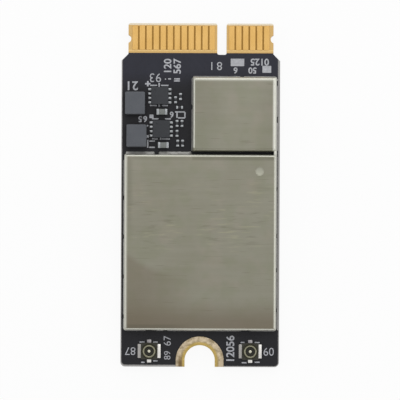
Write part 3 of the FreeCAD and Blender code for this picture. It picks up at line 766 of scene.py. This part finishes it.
def lay_contacts(bank, count):
    """One plated contact, repeated at the pitch along its bank."""
    node = f"{bank}_contact_bank"
    low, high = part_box(node)
    width = high.x - low.x - (count - 1) * CONTACT_PITCH
    contact = soft_block(f"{bank}_gold_contacts", low, (low.x + width, high.y, high.z), CONTACT_ROUND)
    apply_modifier(contact, "ARRAY", count=count, use_relative_offset=False,
                   use_constant_offset=True, constant_offset_displace=(CONTACT_PITCH, 0, 0))
    dress(contact, gold_contacts, "gold_plating", node)


def turn_ground_ring():
    """The plated section, drawn as a C, turned half round the notch and led straight to the edge."""
    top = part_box("screw_ground_ring")[1].z
    plate = top - BOARD_TOP
    centre_y = NOTCH_Y * MM
    inner, outer = NOTCH_RADIUS * MM, RING_RADIUS * MM
    liner = inner + plate
    hold(None)
    bpy.ops.mesh.primitive_plane_add(
        size=1, rotation=(math.pi / 2, 0, 0), location=((liner + outer) / 2, centre_y, top - plate / 2))
    bpy.context.object.scale = (outer - liner, plate, 1)
    ring = named("screw_ring_plating")
    steps = (
        (lambda spot: abs(spot.x - liner) < TINY, (-plate, 0, 0)),
        (lambda spot: abs(spot.z - BOARD_TOP) < TINY and spot.x < liner, (0, 0, plate - BOARD_TOP)),
        (lambda spot: abs(spot.z - plate) < TINY, (0, 0, -plate)),
        (lambda spot: abs(spot.x - liner) < TINY and spot.z < plate, (outer - liner, 0, 0)),
    )
    for test, move in steps:
        pick(ring, "EDGE", lambda edge: test(middle(edge)))
        extrude(move)
    pick(ring, "FACE", every)
    bpy.ops.mesh.spin(steps=RING_TURN_STEPS, angle=-math.pi, center=(0, centre_y, 0), axis=(0, 0, 1))
    close_up()
    pick(ring, "FACE", lambda face: abs(face.normal.y) > ALIGNED
         and abs(face.calc_center_median().y - centre_y) < TINY)
    extrude((0, CARD_REAR - centre_y, 0))
    close_up()
    round_rim(ring, top, RING_RIM)
    dress(ring, ground_ring, "gold_plating", "screw_ground_ring")


# Shield cans and their solder

CAN_SHEET = 0.15 * MM
CAN_CORNER = 0.12 * MM
CAN_BENDS = {"main": 0.29 * MM, "small": 0.36 * MM}
CAN_BEND_SEGMENTS = 8
CAN_MARK_DEPTH = 0.04 * MM


def form_can(can_name):
    """A hollow sheet can: walls folded down from the top, closed at the corners, open underneath."""
    low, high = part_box(f"{can_name}_shield_can")
    bend = CAN_BENDS[can_name]
    can = block(f"{can_name}_can_sheet", low, high)
    pick(can, "FACE", faces_down)
    bpy.ops.mesh.delete(type="FACE")
    round_rim(can, high.z, bend, CAN_BEND_SEGMENTS)

    plan_corners = [Vector((x, y)) for x in (low.x, high.x) for y in (low.y, high.y)]

    def down_a_corner(edge):
        """An edge of the fold line that comes down one corner, where two bends meet."""
        near = min(plan_corners, key=lambda corner: (corner - middle(edge).xy).length)
        insets = [[abs(part) for part in vert.co.xy - near] for vert in edge.verts]
        return all(abs(across - ahead) < TINY and across < bend + TINY for across, ahead in insets)

    round_off(can, down_a_corner, CAN_CORNER)
    apply_modifier(can, "SOLIDIFY", thickness=CAN_SHEET, offset=-1.0)
    return can


SOLDER_RISE = 0.3 * MM
SOLDER_STEP = 0.35 * MM
SOLDER_SMOOTH = math.radians(75)
SOLDER_HOLLOW = 0.85
HOLLOW_PROFILE = 0.16
SOLDER_HELD = 0.03 * MM
SOLDER_UNEVEN = 0.1
BRIDGE_ROUND = (0.1 * MM, 0.1 * MM)

# A fillet's rounded end: lengths of its steps and the size of each against the last
SOLDER_NOSE = ((0.04 * MM, 0.85), (0.04 * MM, 0.7), (0.03 * MM, 0.4))

# Each side's reach, then its fillets' starts and ends along the can, in millimetres
MAIN_SOLDER = {
    "left": (0.12, ((-14.4, -13.25), (-12.9, -8.95), (-8.6, -4.68), (-4.32, -0.5), (-0.14, 3.8))),
    "right": (0.1, ((-14.4, -12.5), (-12.15, -8.2), (-7.85, -4.55), (-4.2, 0.5), (0.85, 4.25))),
    "front": (0.3, ((-8.05, -4.9), (-4.5, -0.95))),
    "rear": (0.13, ((-8.1, -5.74), (-4.77, -3.85), (-3.55, 4.45), (5.3, 8.1))),
}
SMALL_SOLDER = {
    "left": (0.1, ((4.7, 9.25), (9.65, 12.55))),
    "right": (0.14, ((4.7, 7.84), (8.38, 11.8), (12.24, 12.55))),
    "front": (0.13, ((-0.85, 4.27), (4.58, 8.1))),
}

# The solder that closes the right end of the gap between the cans: left, rear, right, front and top
CAN_BRIDGE = (CAN_BRIDGE_LEFT, 4.2, 8.13, 4.76, 2.32)


def solder_fillet(length, reach, seed):
    """An uneven fillet along X, hollowed from the can wall down to the board, with rounded ends."""
    nose = sum(step for step, scale in SOLDER_NOSE)
    body = length - 2 * nose
    bead = block("solder_fillet", (nose, 0, 0), (nose + body, reach, reach))
    inside = reach * ALIGNED
    round_off(bead, lambda edge: middle(edge).y > inside and middle(edge).z > inside,
              reach * SOLDER_HOLLOW, segments=5, profile=HOLLOW_PROFILE)
    pick(bead, "FACE", every)
    bpy.ops.transform.resize(value=(1, 1, SOLDER_RISE / reach), center_override=(0, 0, 0))
    for end, push in ((nose, -1), (nose + body, 1)):
        pick(bead, "FACE", lambda face: abs(face.normal.x) > ALIGNED
             and abs(face.calc_center_median().x - end) < TINY)
        for step, scale in SOLDER_NOSE:
            extrude((push * step, 0, 0))
            bpy.ops.transform.resize(value=(1, scale, scale), center_override=(end, 0, 0))
    pick(bead, "EDGE", lambda edge: abs(along(edge).x) > ALIGNED and edge.calc_length() > body * ALIGNED)
    bpy.ops.mesh.subdivide(number_cuts=max(1, round(body / SOLDER_STEP)))
    pick(bead, "VERT", lambda vert: vert.co.y > SOLDER_HELD and vert.co.z > SOLDER_HELD)
    bpy.ops.transform.vertex_random(offset=SOLDER_UNEVEN * reach, seed=seed)
    return bead


def solder_can(name, node, can_node, sides, bridge=None):
    """The broken fillets round a can, and the bridge to the next can if there is one."""
    low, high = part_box(can_node)
    stands = {
        "front": (lambda start, end: (start, high.y), 0.0),
        "rear": (lambda start, end: (end, low.y), math.pi),
        "left": (lambda start, end: (low.x, start), math.pi / 2),
        "right": (lambda start, end: (high.x, end), -math.pi / 2),
    }
    beads = []
    for side, (reach, runs) in sides.items():
        corner, turn = stands[side]
        for start, end in runs:
            bead = solder_fillet((end - start) * MM, reach * MM, len(beads))
            hold(bead)
            bead.location = (*corner(start * MM, end * MM), BOARD_TOP)
            bead.rotation_euler = (0, 0, turn)
            bpy.ops.object.transform_apply()
            beads.append(bead)
    if bridge:
        left, rear, right, front, top = (size * MM for size in bridge)
        bridge_low, bridge_high = (left, rear, BOARD_TOP), (right, front, top)
        beads.append(soft_block("solder_bridge", bridge_low, bridge_high, BRIDGE_ROUND, segments=3))
    dress(join(name, beads), solder, "tin", node, smooth=SOLDER_SMOOTH)


# Antenna sockets

SOCKET_ROUND = (0.12 * MM, 0.03 * MM)
COLLAR_RADIUS = 0.84 * MM
COLLAR_WIDTH = 0.165 * MM
BARREL_SIDES = 48
BARREL_WALL = 0.16 * MM
BARREL_RIM = 0.055 * MM
POST_RADIUS = 0.18 * MM
POST_SIDES = 24
POST_LIFT = 0.02 * MM
TAB_HALF = 0.75 * MM
TAIL_HALF = 0.23 * MM
TAB_ROOT = 0.6 * MM
TAB_SHEET = 0.08 * MM
TAB_ROUND = (0.05 * MM, 0.03 * MM)

# The groove that a plug snaps over: rises up the barrel and each step's width against the last
BARREL_STEPS = ((0.1 * MM, 1.0), (0.03 * MM, 0.955), (0.08 * MM, 1.0), (0.03 * MM, 1 / 0.955))


def socket_barrel(x, y):
    """A grooved ring on a low collar, open down to the base."""
    low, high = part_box("left_socket_ring")
    collar_top = COLLAR_TOP * MM
    ring = disc("socket_ring", (x, y), COLLAR_RADIUS, low.z, collar_top, BARREL_SIDES)
    pick(ring, "FACE", faces_up)
    bpy.ops.mesh.inset(thickness=COLLAR_WIDTH)
    for rise, scale in BARREL_STEPS:
        extrude((0, 0, rise))
        bpy.ops.transform.resize(value=(scale, scale, 1), center_override=(x, y, 0))
    extrude((0, 0, high.z - collar_top - sum(rise for rise, scale in BARREL_STEPS)))
    bpy.ops.mesh.inset(thickness=BARREL_WALL)
    extrude((0, 0, low.z - high.z))
    bpy.ops.mesh.delete(type="FACE")
    pick(ring, "FACE", faces_down)
    bpy.ops.mesh.delete(type="FACE")
    pick(ring, "EDGE", lambda edge: edge.is_boundary)
    bpy.ops.mesh.bridge_edge_loops()
    round_rim(ring, high.z, BARREL_RIM, segments=4)
    return ring


def socket_tab(low, high):
    """A flat tab of the sheet, between two corners."""
    return soft_block("socket_tab", low, high, TAB_ROUND)


def socket_tabs(x, y):
    """The wide tabs at both sides and the narrow one at the rear."""
    low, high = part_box("left_socket_feet")
    left = socket_tab((low.x, y - TAB_HALF, low.z), (x - TAB_ROOT, y + TAB_HALF, high.z))
    right = copy_of(left, "socket_tab", (high.x - x + TAB_ROOT, 0, 0))
    rear = socket_tab((x - TAIL_HALF, low.y, low.z), (x + TAIL_HALF, y - TAB_ROOT, high.z))
    return join("socket_tabs", [left, right, rear])


def socket_contact(x, y, floor):
    """The round-headed centre post and the tail that leads out from it to the front."""
    low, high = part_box("left_socket_pin")
    post = disc("socket_post", (x, y), POST_RADIUS, floor + POST_LIFT, high.z, POST_SIDES)
    round_rim(post, high.z, POST_RADIUS / 2, segments=4)
    tail = socket_tab((x - TAIL_HALF, y, low.z), (x + TAIL_HALF, high.y, low.z + TAB_SHEET))
    return join("socket_contact", [post, tail])


def build_sockets():
    """The left socket in its four pieces, then the right one as its copy."""
    low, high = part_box("left_socket_base")
    x, y = (low.x + high.x) / 2, (low.y + high.y) / 2
    base = soft_block("socket_base", low, high, SOCKET_ROUND)
    fit_copies(("left", "right"), "{}_socket_base", (
        (base, "{}_socket_moulding", socket_plastic, "socket_plastic", "{}_socket_base"),
        (socket_barrel(x, y), "{}_socket_barrel", gilt_ring, "gold_plating", "{}_socket_ring"),
        (socket_tabs(x, y), "{}_socket_tabs", bright_tabs, "gold_plating", "{}_socket_feet"),
        (socket_contact(x, y, low.z), "{}_socket_contact", gilt_contact, "gold_plating", "{}_socket_pin"),
    ))


# Power corner

PLACES = ("upper", "lower")
INDUCTOR_ROUND = (0.13 * MM, 0.11 * MM)
CLIP_SHEET = 0.06 * MM
CLIP_FOOT = 0.56 * MM
CLIP_ROUND = 0.02 * MM
REGULATOR_ROUND = (0.06 * MM, 0.05 * MM)
LEADS_A_SIDE = 4
LEAD_WIDTH = 0.24 * MM
LEAD_MARGIN = 0.22 * MM
LEAD_ROOT = 0.2 * MM
LEAD_ROUND = (0.03 * MM, 0.03 * MM)
CHIP_MARK_INSET = 0.4 * MM
CHIP_MARK_RADIUS = 0.14 * MM
CHIP_MARK_DEPTH = 0.04 * MM
CERAMIC_ROUND = (0.0, 0.02 * MM)
CAP_ROUND = (0.05 * MM, 0.04 * MM)
CAPACITOR_CAP = 0.27 * MM
RESISTOR_CAP = 0.22 * MM
RESISTOR_COUNT = 8


def inductor_clip(low, high, wall, inward):
    """A sheet that stands at one end of the inductor and is turned in under it."""
    near, far = sorted((wall, wall + inward * CLIP_SHEET))
    foot_top = low.z + CLIP_SHEET
    clip = block("clip", (low.x, near, low.z), (high.x, far, high.z))
    pick(clip, "FACE", every)
    bpy.ops.mesh.bisect(plane_co=(0, 0, foot_top), plane_no=(0, 0, 1))
    pick(clip, "FACE", lambda face: face.normal.y * inward > ALIGNED
         and face.calc_center_median().z < foot_top)
    extrude((0, inward * (CLIP_FOOT - CLIP_SHEET), 0))
    round_off(clip, lambda edge: upright(edge) and abs(middle(edge).y - wall) < TINY, CLIP_ROUND)
    round_rim(clip, high.z, CLIP_ROUND, segments=2)
    return clip


def build_inductors():
    """Pressed blocks with a metal clip at each end."""
    body = soft_block("inductor_body", *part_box("upper_inductor"), INDUCTOR_ROUND, segments=4)
    low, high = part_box("upper_inductor_terminals")
    clips = [inductor_clip(low, high, wall, inward) for wall, inward in ((low.y, 1), (high.y, -1))]
    fit_copies(PLACES, "{}_inductor", (
        (body, "{}_inductor_moulding", inductor_mould, "inductor_mould", "{}_inductor"),
        (join("clips", clips), "{}_inductor_clips", shade_dark_clip_metal, "tin", "{}_inductor_terminals"),
    ))


def build_regulators():
    """Flat moulded chips with a corner mark and four leads along each side."""
    low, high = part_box("upper_regulator")
    body = soft_block("regulator_body", low, high, REGULATOR_ROUND)
    mark = (low.x + CHIP_MARK_INSET, high.y - CHIP_MARK_INSET)
    sink_mark(body, mark, CHIP_MARK_RADIUS, high.z, CHIP_MARK_DEPTH)
    lead_low, lead_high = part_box("upper_regulator_leads")
    pitch = (high.y - low.y - 2 * LEAD_MARGIN) / (LEADS_A_SIDE - 1)
    rear = low.y + LEAD_MARGIN - LEAD_WIDTH / 2
    root = (low.x + LEAD_ROOT, rear + LEAD_WIDTH, lead_high.z)
    first = soft_block("lead", (lead_low.x, rear, lead_low.z), root, LEAD_ROUND)
    across = lead_high.x - low.x - LEAD_ROOT
    leads = [first]
    for number in range(LEADS_A_SIDE):
        for side in (0, across):
            if number or side:
                leads.append(copy_of(first, "lead", (side, number * pitch, 0)))
    fit_copies(PLACES, "{}_regulator", (
        (body, "{}_regulator_moulding", chip_mould, "chip_mould", "{}_regulator"),
        (join("leads", leads), "{}_regulator_lead_frame", tin, "tin", "{}_regulator_leads"),
    ))


def lies_across(node):
    """Whether a chip's two ends are side by side along X."""
    low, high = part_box(f"{node}_ends")
    return high.x - low.x > high.y - low.y


def build_chip_parts(nodes, cap_reach, slot):
    """Ceramic chips of one size and direction, each with a rounded metal cap on both ends."""
    low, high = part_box(f"{nodes[0]}_ends")
    axis = 0 if lies_across(nodes[0]) else 1
    body = soft_block("chip", *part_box(nodes[0]), CERAMIC_ROUND)
    near_end = high.copy()
    near_end[axis] = low[axis] + cap_reach
    cap = soft_block("cap", low, near_end, CAP_ROUND, segments=3)
    step = Vector((0, 0, 0))
    step[axis] = high[axis] - low[axis] - cap_reach
    caps = join("caps", [cap, copy_of(cap, "cap", step)])
    fit_copies(nodes, "{}", (
        (body, "{}_chip", SLOT_FINISHES[slot], slot, "{}"),
        (caps, "{}_caps", tin, "tin", "{}_ends"),
    ))


# Print

INK_THICK = 0.012 * MM
INK_THICKER = 0.2
BAR_CORNER = 0.04 * MM
FIGURE_SIZE = 1.4
BOLD = 0.024
THIN = -0.004

# Printed bars as left, rear, right and front, in millimetres
PRINT_BARS = [
    (-5.45, 11.68, -4.7, 11.82), (-4.27, 11.68, -3.47, 11.82), (-4.55, 11.59, -4.39, 12.02),
    (-5.45, 9.52, -4.7, 9.66), (-4.16, 9.52, -3.52, 9.66), (-4.54, 9.45, -4.38, 9.88),
    (-5.23, 8.09, -4.53, 8.23), (-3.83, 8.09, -3.19, 8.23),
    (-5.22, 5.94, -4.58, 6.08), (-4.15, 5.94, -3.29, 6.08), (-4.37, 5.91, -4.21, 6.23),
    (-5.5, 8.23, -5.06, 8.62), (-5.98, 11.83, -5.4, 12.01), (-5.78, 11.63, -5.6, 12.21),
    (-2.76, 8.84, -1.69, 8.98), (-1.76, 8.27, -1.62, 8.91), (-2.44, 8.2, -1.69, 8.34),
    (-2.62, 8.27, -2.46, 8.84),
    (-6.45, -15.87, -5.91, -15.73), (-5.0, -15.87, -4.51, -15.73),
    (-6.28, -18.04, -5.9, -17.9), (-4.99, -17.88, -4.51, -17.74),
    (4.39, -15.87, 4.82, -15.73), (5.89, -15.87, 6.43, -15.73),
    (4.51, -18.04, 5.04, -17.9), (5.9, -17.98, 6.44, -17.84),
    (-5.74, 5.05, -5.6, 5.91), (-5.5, 5.7, -4.9, 5.84), (-5.5, 5.03, -4.9, 5.17),
    (-2.88, 12.17, -2.24, 12.31), (-3.85, 12.36, -3.73, 12.5), (-3.52, 12.38, -3.2, 12.52),
    (-2.88, 12.38, -2.24, 12.52), (-5.79, 7.34, -5.62, 7.5), (-5.79, 6.13, -5.56, 6.42),
]

# Printed solid fields as left, rear, right and front, in millimetres
PRINT_FIELDS = [
    (3.2, 13.85, 4.65, 14.65), (6.6, 13.15, 7.55, 13.9),
]

# Printed numbers by height of the figures, turn in degrees and stroke: text and centre, in millimetres
PRINT_NUMBERS = {
    (0.95, 180, BOLD): (("1", -7.75, 11.75), ("2", -7.05, 11.75)),
    (0.95, 180, THIN): (("3", -5.25, 12.62), ("9", -4.55, 12.62)),
    (0.78, 90, BOLD): (("120", -3.53, 13.8), ("567", -2.5, 13.8)),
    (0.62, 180, BOLD): (("5", -6.5, 8.16), ("6", -5.95, 8.16), ("6", -3.11, 8.64)),
    (0.9, 180, THIN): (("1", 1.17, 13.9), ("8", 2.0, 13.9)),
    (0.72, 180, BOLD): (("0125", 6.3, 14.33),),
    (0.64, 180, BOLD): (("50", 5.54, 13.42), ("6", 3.72, 13.42)),
    (0.86, 180, THIN): (("7", -7.75, -16.73), ("8", -7.15, -16.73), ("9", 7.1, -16.73), ("0", 7.7, -16.73)),
    (0.84, 90, BOLD): (("12056", 3.33, -16.52),),
    (0.8, 90, THIN): (("67", -3.44, -15.66),),
    (0.7, 90, THIN): (("89", -3.44, -17.21),),
}


def print_marks():
    """Bars and fields, in turn thinner and thicker, so that a crossing stays clean."""
    bars = []
    for number, (left, rear, right, front) in enumerate(PRINT_BARS + PRINT_FIELDS):
        top = BOARD_TOP + INK_THICK * (1.0 + INK_THICKER * (number % 2))
        bar = block("bar", (left * MM, rear * MM, BOARD_TOP), (right * MM, front * MM, top))
        round_off(bar, upright, BAR_CORNER, segments=2)
        bars.append(bar)
    dress(join("printed_marks", bars), ink, None)


def print_figure(text, x, y, height, turn, stroke):
    """A number as a raised figure of ink."""
    hold(None)
    bpy.ops.object.text_add(location=(x * MM, y * MM, BOARD_TOP), rotation=(0, 0, math.radians(turn)))
    lettering = bpy.context.object.data
    lettering.body = text
    lettering.size = height * MM * FIGURE_SIZE
    lettering.align_x = "CENTER"
    lettering.align_y = "CENTER"
    lettering.offset = stroke * MM
    lettering.extrude = INK_THICK / 2
    bpy.ops.object.convert(target="MESH")
    figure = bpy.context.object
    pick(figure, "VERT", every)
    close_up()
    hold(figure)
    figure.location.z += INK_THICK / 2
    bpy.ops.object.transform_apply()
    return figure


def print_numbers():
    """All the position numbers as one piece."""
    figures = [print_figure(*figure, *style) for style, row in PRINT_NUMBERS.items() for figure in row]
    dress(join("printed_numbers", figures), ink, None)


# Tracks and vias under the mask

TRACK_THICK = 0.012 * MM
TRACK_WIDTH = 0.16 * MM
VIA_THICK = 0.016 * MM
VIA_RADIUS = 0.16 * MM
VIA_RIM = 0.008 * MM
VIA_SIDES = 16

# Where tracks start behind the contacts and in front of the sockets, in millimetres
CONTACTS_Y = 15.1
SOCKETS_Y = -15.3

# Tracks as their start and their legs, in millimetres
TRACKS = [
    ((-6.3, CONTACTS_Y), ((0, -0.6), (-0.5, -0.5), (0, -1.2))),
    ((-5.55, CONTACTS_Y), ((0, -0.9), (-0.5, -0.5), (0, -1.0))),
    ((-4.05, CONTACTS_Y), ((0, -0.4), (-0.35, -0.35), (0, -0.8))),
    ((-1.8, CONTACTS_Y), ((0, -1.0), (0.5, -0.5), (0, -1.6), (-0.4, -0.4), (0, -2.3))),
    ((-1.05, CONTACTS_Y), ((0, -0.7), (0.6, -0.6), (0, -1.0))),
    ((-0.3, CONTACTS_Y), ((0, -0.5), (0.6, -0.6), (0, -1.2))),
    ((0.45, CONTACTS_Y), ((0, -0.4), (0.4, -0.4), (0, -1.5))),
    ((-SOCKET_X, SOCKETS_Y), ((0, 0.75),)),
    ((SOCKET_X, SOCKETS_Y), ((0, 0.75),)),
]

# Rows of vias as start, step and count, in millimetres
VIA_ROWS = [
    ((-6.6, -15.15), (0.6, 0), 5), ((4.2, -15.15), (0.6, 0), 5),
    ((-8.2, -17.6), (0, 0.75), 4), ((8.2, -17.6), (0, 0.75), 4),
    ((-8.15, 13.0), (0, 0.6), 3), ((-6.8, 12.9), (0.6, 0), 3),
    ((-1.35, 6.0), (0, 0.8), 6), ((-1.6, 12.9), (0.55, 0), 3),
]


def cover_tracks():
    """Tracks and vias as low raised lines and discs of the mask."""
    pieces = []
    for (x, y), legs in TRACKS:
        hold(None)
        bpy.ops.mesh.primitive_plane_add(size=TRACK_WIDTH, location=(x * MM, y * MM, BOARD_TOP))
        track = named("track")
        heading = math.copysign(1, legs[0][1])
        pick(track, "EDGE", lambda edge: abs(along(edge).x) > ALIGNED
             and (middle(edge).y - y * MM) * heading > 0)
        for aside, ahead in legs:
            extrude((aside * MM, ahead * MM, 0))
        apply_modifier(track, "SOLIDIFY", thickness=TRACK_THICK, offset=1.0)
        pieces.append(track)
    via = disc("via", (0, 0), VIA_RADIUS, BOARD_TOP, BOARD_TOP + VIA_THICK, VIA_SIDES)
    round_rim(via, BOARD_TOP + VIA_THICK, VIA_RIM, segments=1)
    for (x, y), (step_x, step_y), count in VIA_ROWS:
        for number in range(count):
            centre = ((x + number * step_x) * MM, (y + number * step_y) * MM, 0)
            pieces.append(copy_of(via, "via", centre))
    bpy.data.objects.remove(via)
    dress(join("covered_tracks", pieces), board_mask, "board_mask")


# The card, piece by piece

for bank, count in CONTACT_COUNTS.items():
    lay_contacts(bank, count)
turn_ground_ring()

main_can = form_can("main")
mark_place = tuple(value * MM for value in CAN_MARK)
sink_mark(main_can, mark_place, CAN_MARK_RADIUS * MM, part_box("main_shield_can")[1].z, CAN_MARK_DEPTH)
dress(main_can, can_sheet, "can_sheet", "main_shield_can")
dress(form_can("small"), can_sheet, "can_sheet", "small_shield_can")
solder_can("main_can_solder", "main_shield_solder", "main_shield_can", MAIN_SOLDER)
solder_can("small_can_solder", "small_shield_solder", "small_shield_can", SMALL_SOLDER, CAN_BRIDGE)

build_sockets()
build_inductors()
build_regulators()
capacitors = [f"{place}_capacitor" for place in PLACES]
build_chip_parts(capacitors, CAPACITOR_CAP, "capacitor_body")
resistors = [f"chip_resistor_{number + 1}" for number in range(RESISTOR_COUNT)]
for across in (False, True):
    alike = [node for node in resistors if lies_across(node) == across]
    build_chip_parts(alike, RESISTOR_CAP, "resistor_body")

print_marks()
print_numbers()
cover_tracks()

# CAD pieces that stay, each in its slot's finish
for part in frame["record"]["subparts"]:
    node = frame["nodes"][part["node"]]
    node.data.materials.clear()
    node.data.materials.append(SLOT_FINISHES[part["material_slot"]])


# Floor and light

FLOOR_SIZE = 2.0
FLOOR_DROP = 0.02 * MM
FLOOR_PAPER = (0.9, 0.9, 0.9, 1.0)
FLOOR_GLOW = 0.92
AMBIENT = 0.42
AIM = Vector((0, 0, 1 * MM))

# Soft boxes as name, place and size in metres, and brightness
SOFTBOXES = [
    ("overhead_softbox", (0.01, 0.12, 0.24), (0.22, 0.12), 1.4),
    ("front_softbox", (0.02, 0.24, 0.12), (0.28, 0.14), 1.9),
    ("right_softbox", (0.22, 0.03, 0.1), (0.2, 0.16), 1.5),
    ("left_softbox", (-0.22, 0.02, 0.1), (0.2, 0.16), 1.1),
    ("rear_softbox", (0.0, -0.24, 0.08), (0.24, 0.12), 0.9),
]


def lay_floor():
    """A white sheet that shows white and still takes the card's shadow."""
    hold(None)
    bpy.ops.mesh.primitive_plane_add(size=FLOOR_SIZE, location=(0, 0, -FLOOR_DROP))
    floor = bpy.context.object
    floor.name = "white_floor"
    material = bpy.data.materials.new("white_sweep")
    material.use_nodes = True
    nodes = Nodes(material.node_tree)
    paper = nodes.add("ShaderNodeBsdfDiffuse", values={"Color": FLOOR_PAPER})
    glow = nodes.add("ShaderNodeEmission", values={"Color": WHITE, "Strength": 1.0})
    both = nodes.add("ShaderNodeMixShader", values={0: nodes.seen_ray() * FLOOR_GLOW, 1: paper, 2: glow})
    nodes.add("ShaderNodeOutputMaterial", values={"Surface": both})
    floor.data.materials.append(material)


def light_world():
    """Even light from all round, white where it is seen."""
    world = bpy.data.worlds.new("white_studio")
    bpy.context.scene.world = world
    world.use_nodes = True
    nodes = Nodes(world.node_tree)
    strength = AMBIENT + nodes.seen_ray() * (1.0 - AMBIENT)
    sky = nodes.add("ShaderNodeBackground", values={"Color": WHITE, "Strength": strength})
    nodes.add("ShaderNodeOutputWorld", values={"Surface": sky})


def hang_softbox(name, place, size, brightness):
    """A soft lamp turned to the card, as bright for any size."""
    hold(None)
    bpy.ops.object.light_add(type="AREA", location=place)
    lamp = bpy.context.object
    lamp.name = name
    lamp.rotation_euler = (AIM - Vector(place)).to_track_quat("-Z", "Y").to_euler()
    lamp.data.shape = "RECTANGLE"
    lamp.data.size, lamp.data.size_y = size
    lamp.data.energy = brightness * math.pi * size[0] * size[1]
    lamp.visible_camera = False


# Camera, as the photo sees the card: straight down through a long lens

PHOTO_PIXELS = 400
PIXEL_SIZE = 0.1073 * MM
VIEW_CENTRE = (-0.035 * MM, -0.53 * MM)
VIEW_TURN = math.radians(0.25)
LENS_LENGTH = 200.0
SENSOR_WIDTH = 36.0
NEAR_LIMIT = 0.05
FAR_LIMIT = 10.0


def set_camera():
    """The camera at the distance that gives each pixel its size on the board's top."""
    distance = PHOTO_PIXELS * PIXEL_SIZE * LENS_LENGTH / SENSOR_WIDTH
    hold(None)
    bpy.ops.object.camera_add(location=(*VIEW_CENTRE, BOARD_TOP + distance), rotation=(0, 0, VIEW_TURN))
    camera = bpy.context.object
    camera.data.lens = LENS_LENGTH
    camera.data.sensor_width = SENSOR_WIDTH
    camera.data.clip_start = distance * NEAR_LIMIT
    camera.data.clip_end = FAR_LIMIT
    bpy.context.scene.camera = camera


lay_floor()
light_world()
for softbox in SOFTBOXES:
    hang_softbox(*softbox)
set_camera()
bpy.context.scene.view_settings.view_transform = "Standard"
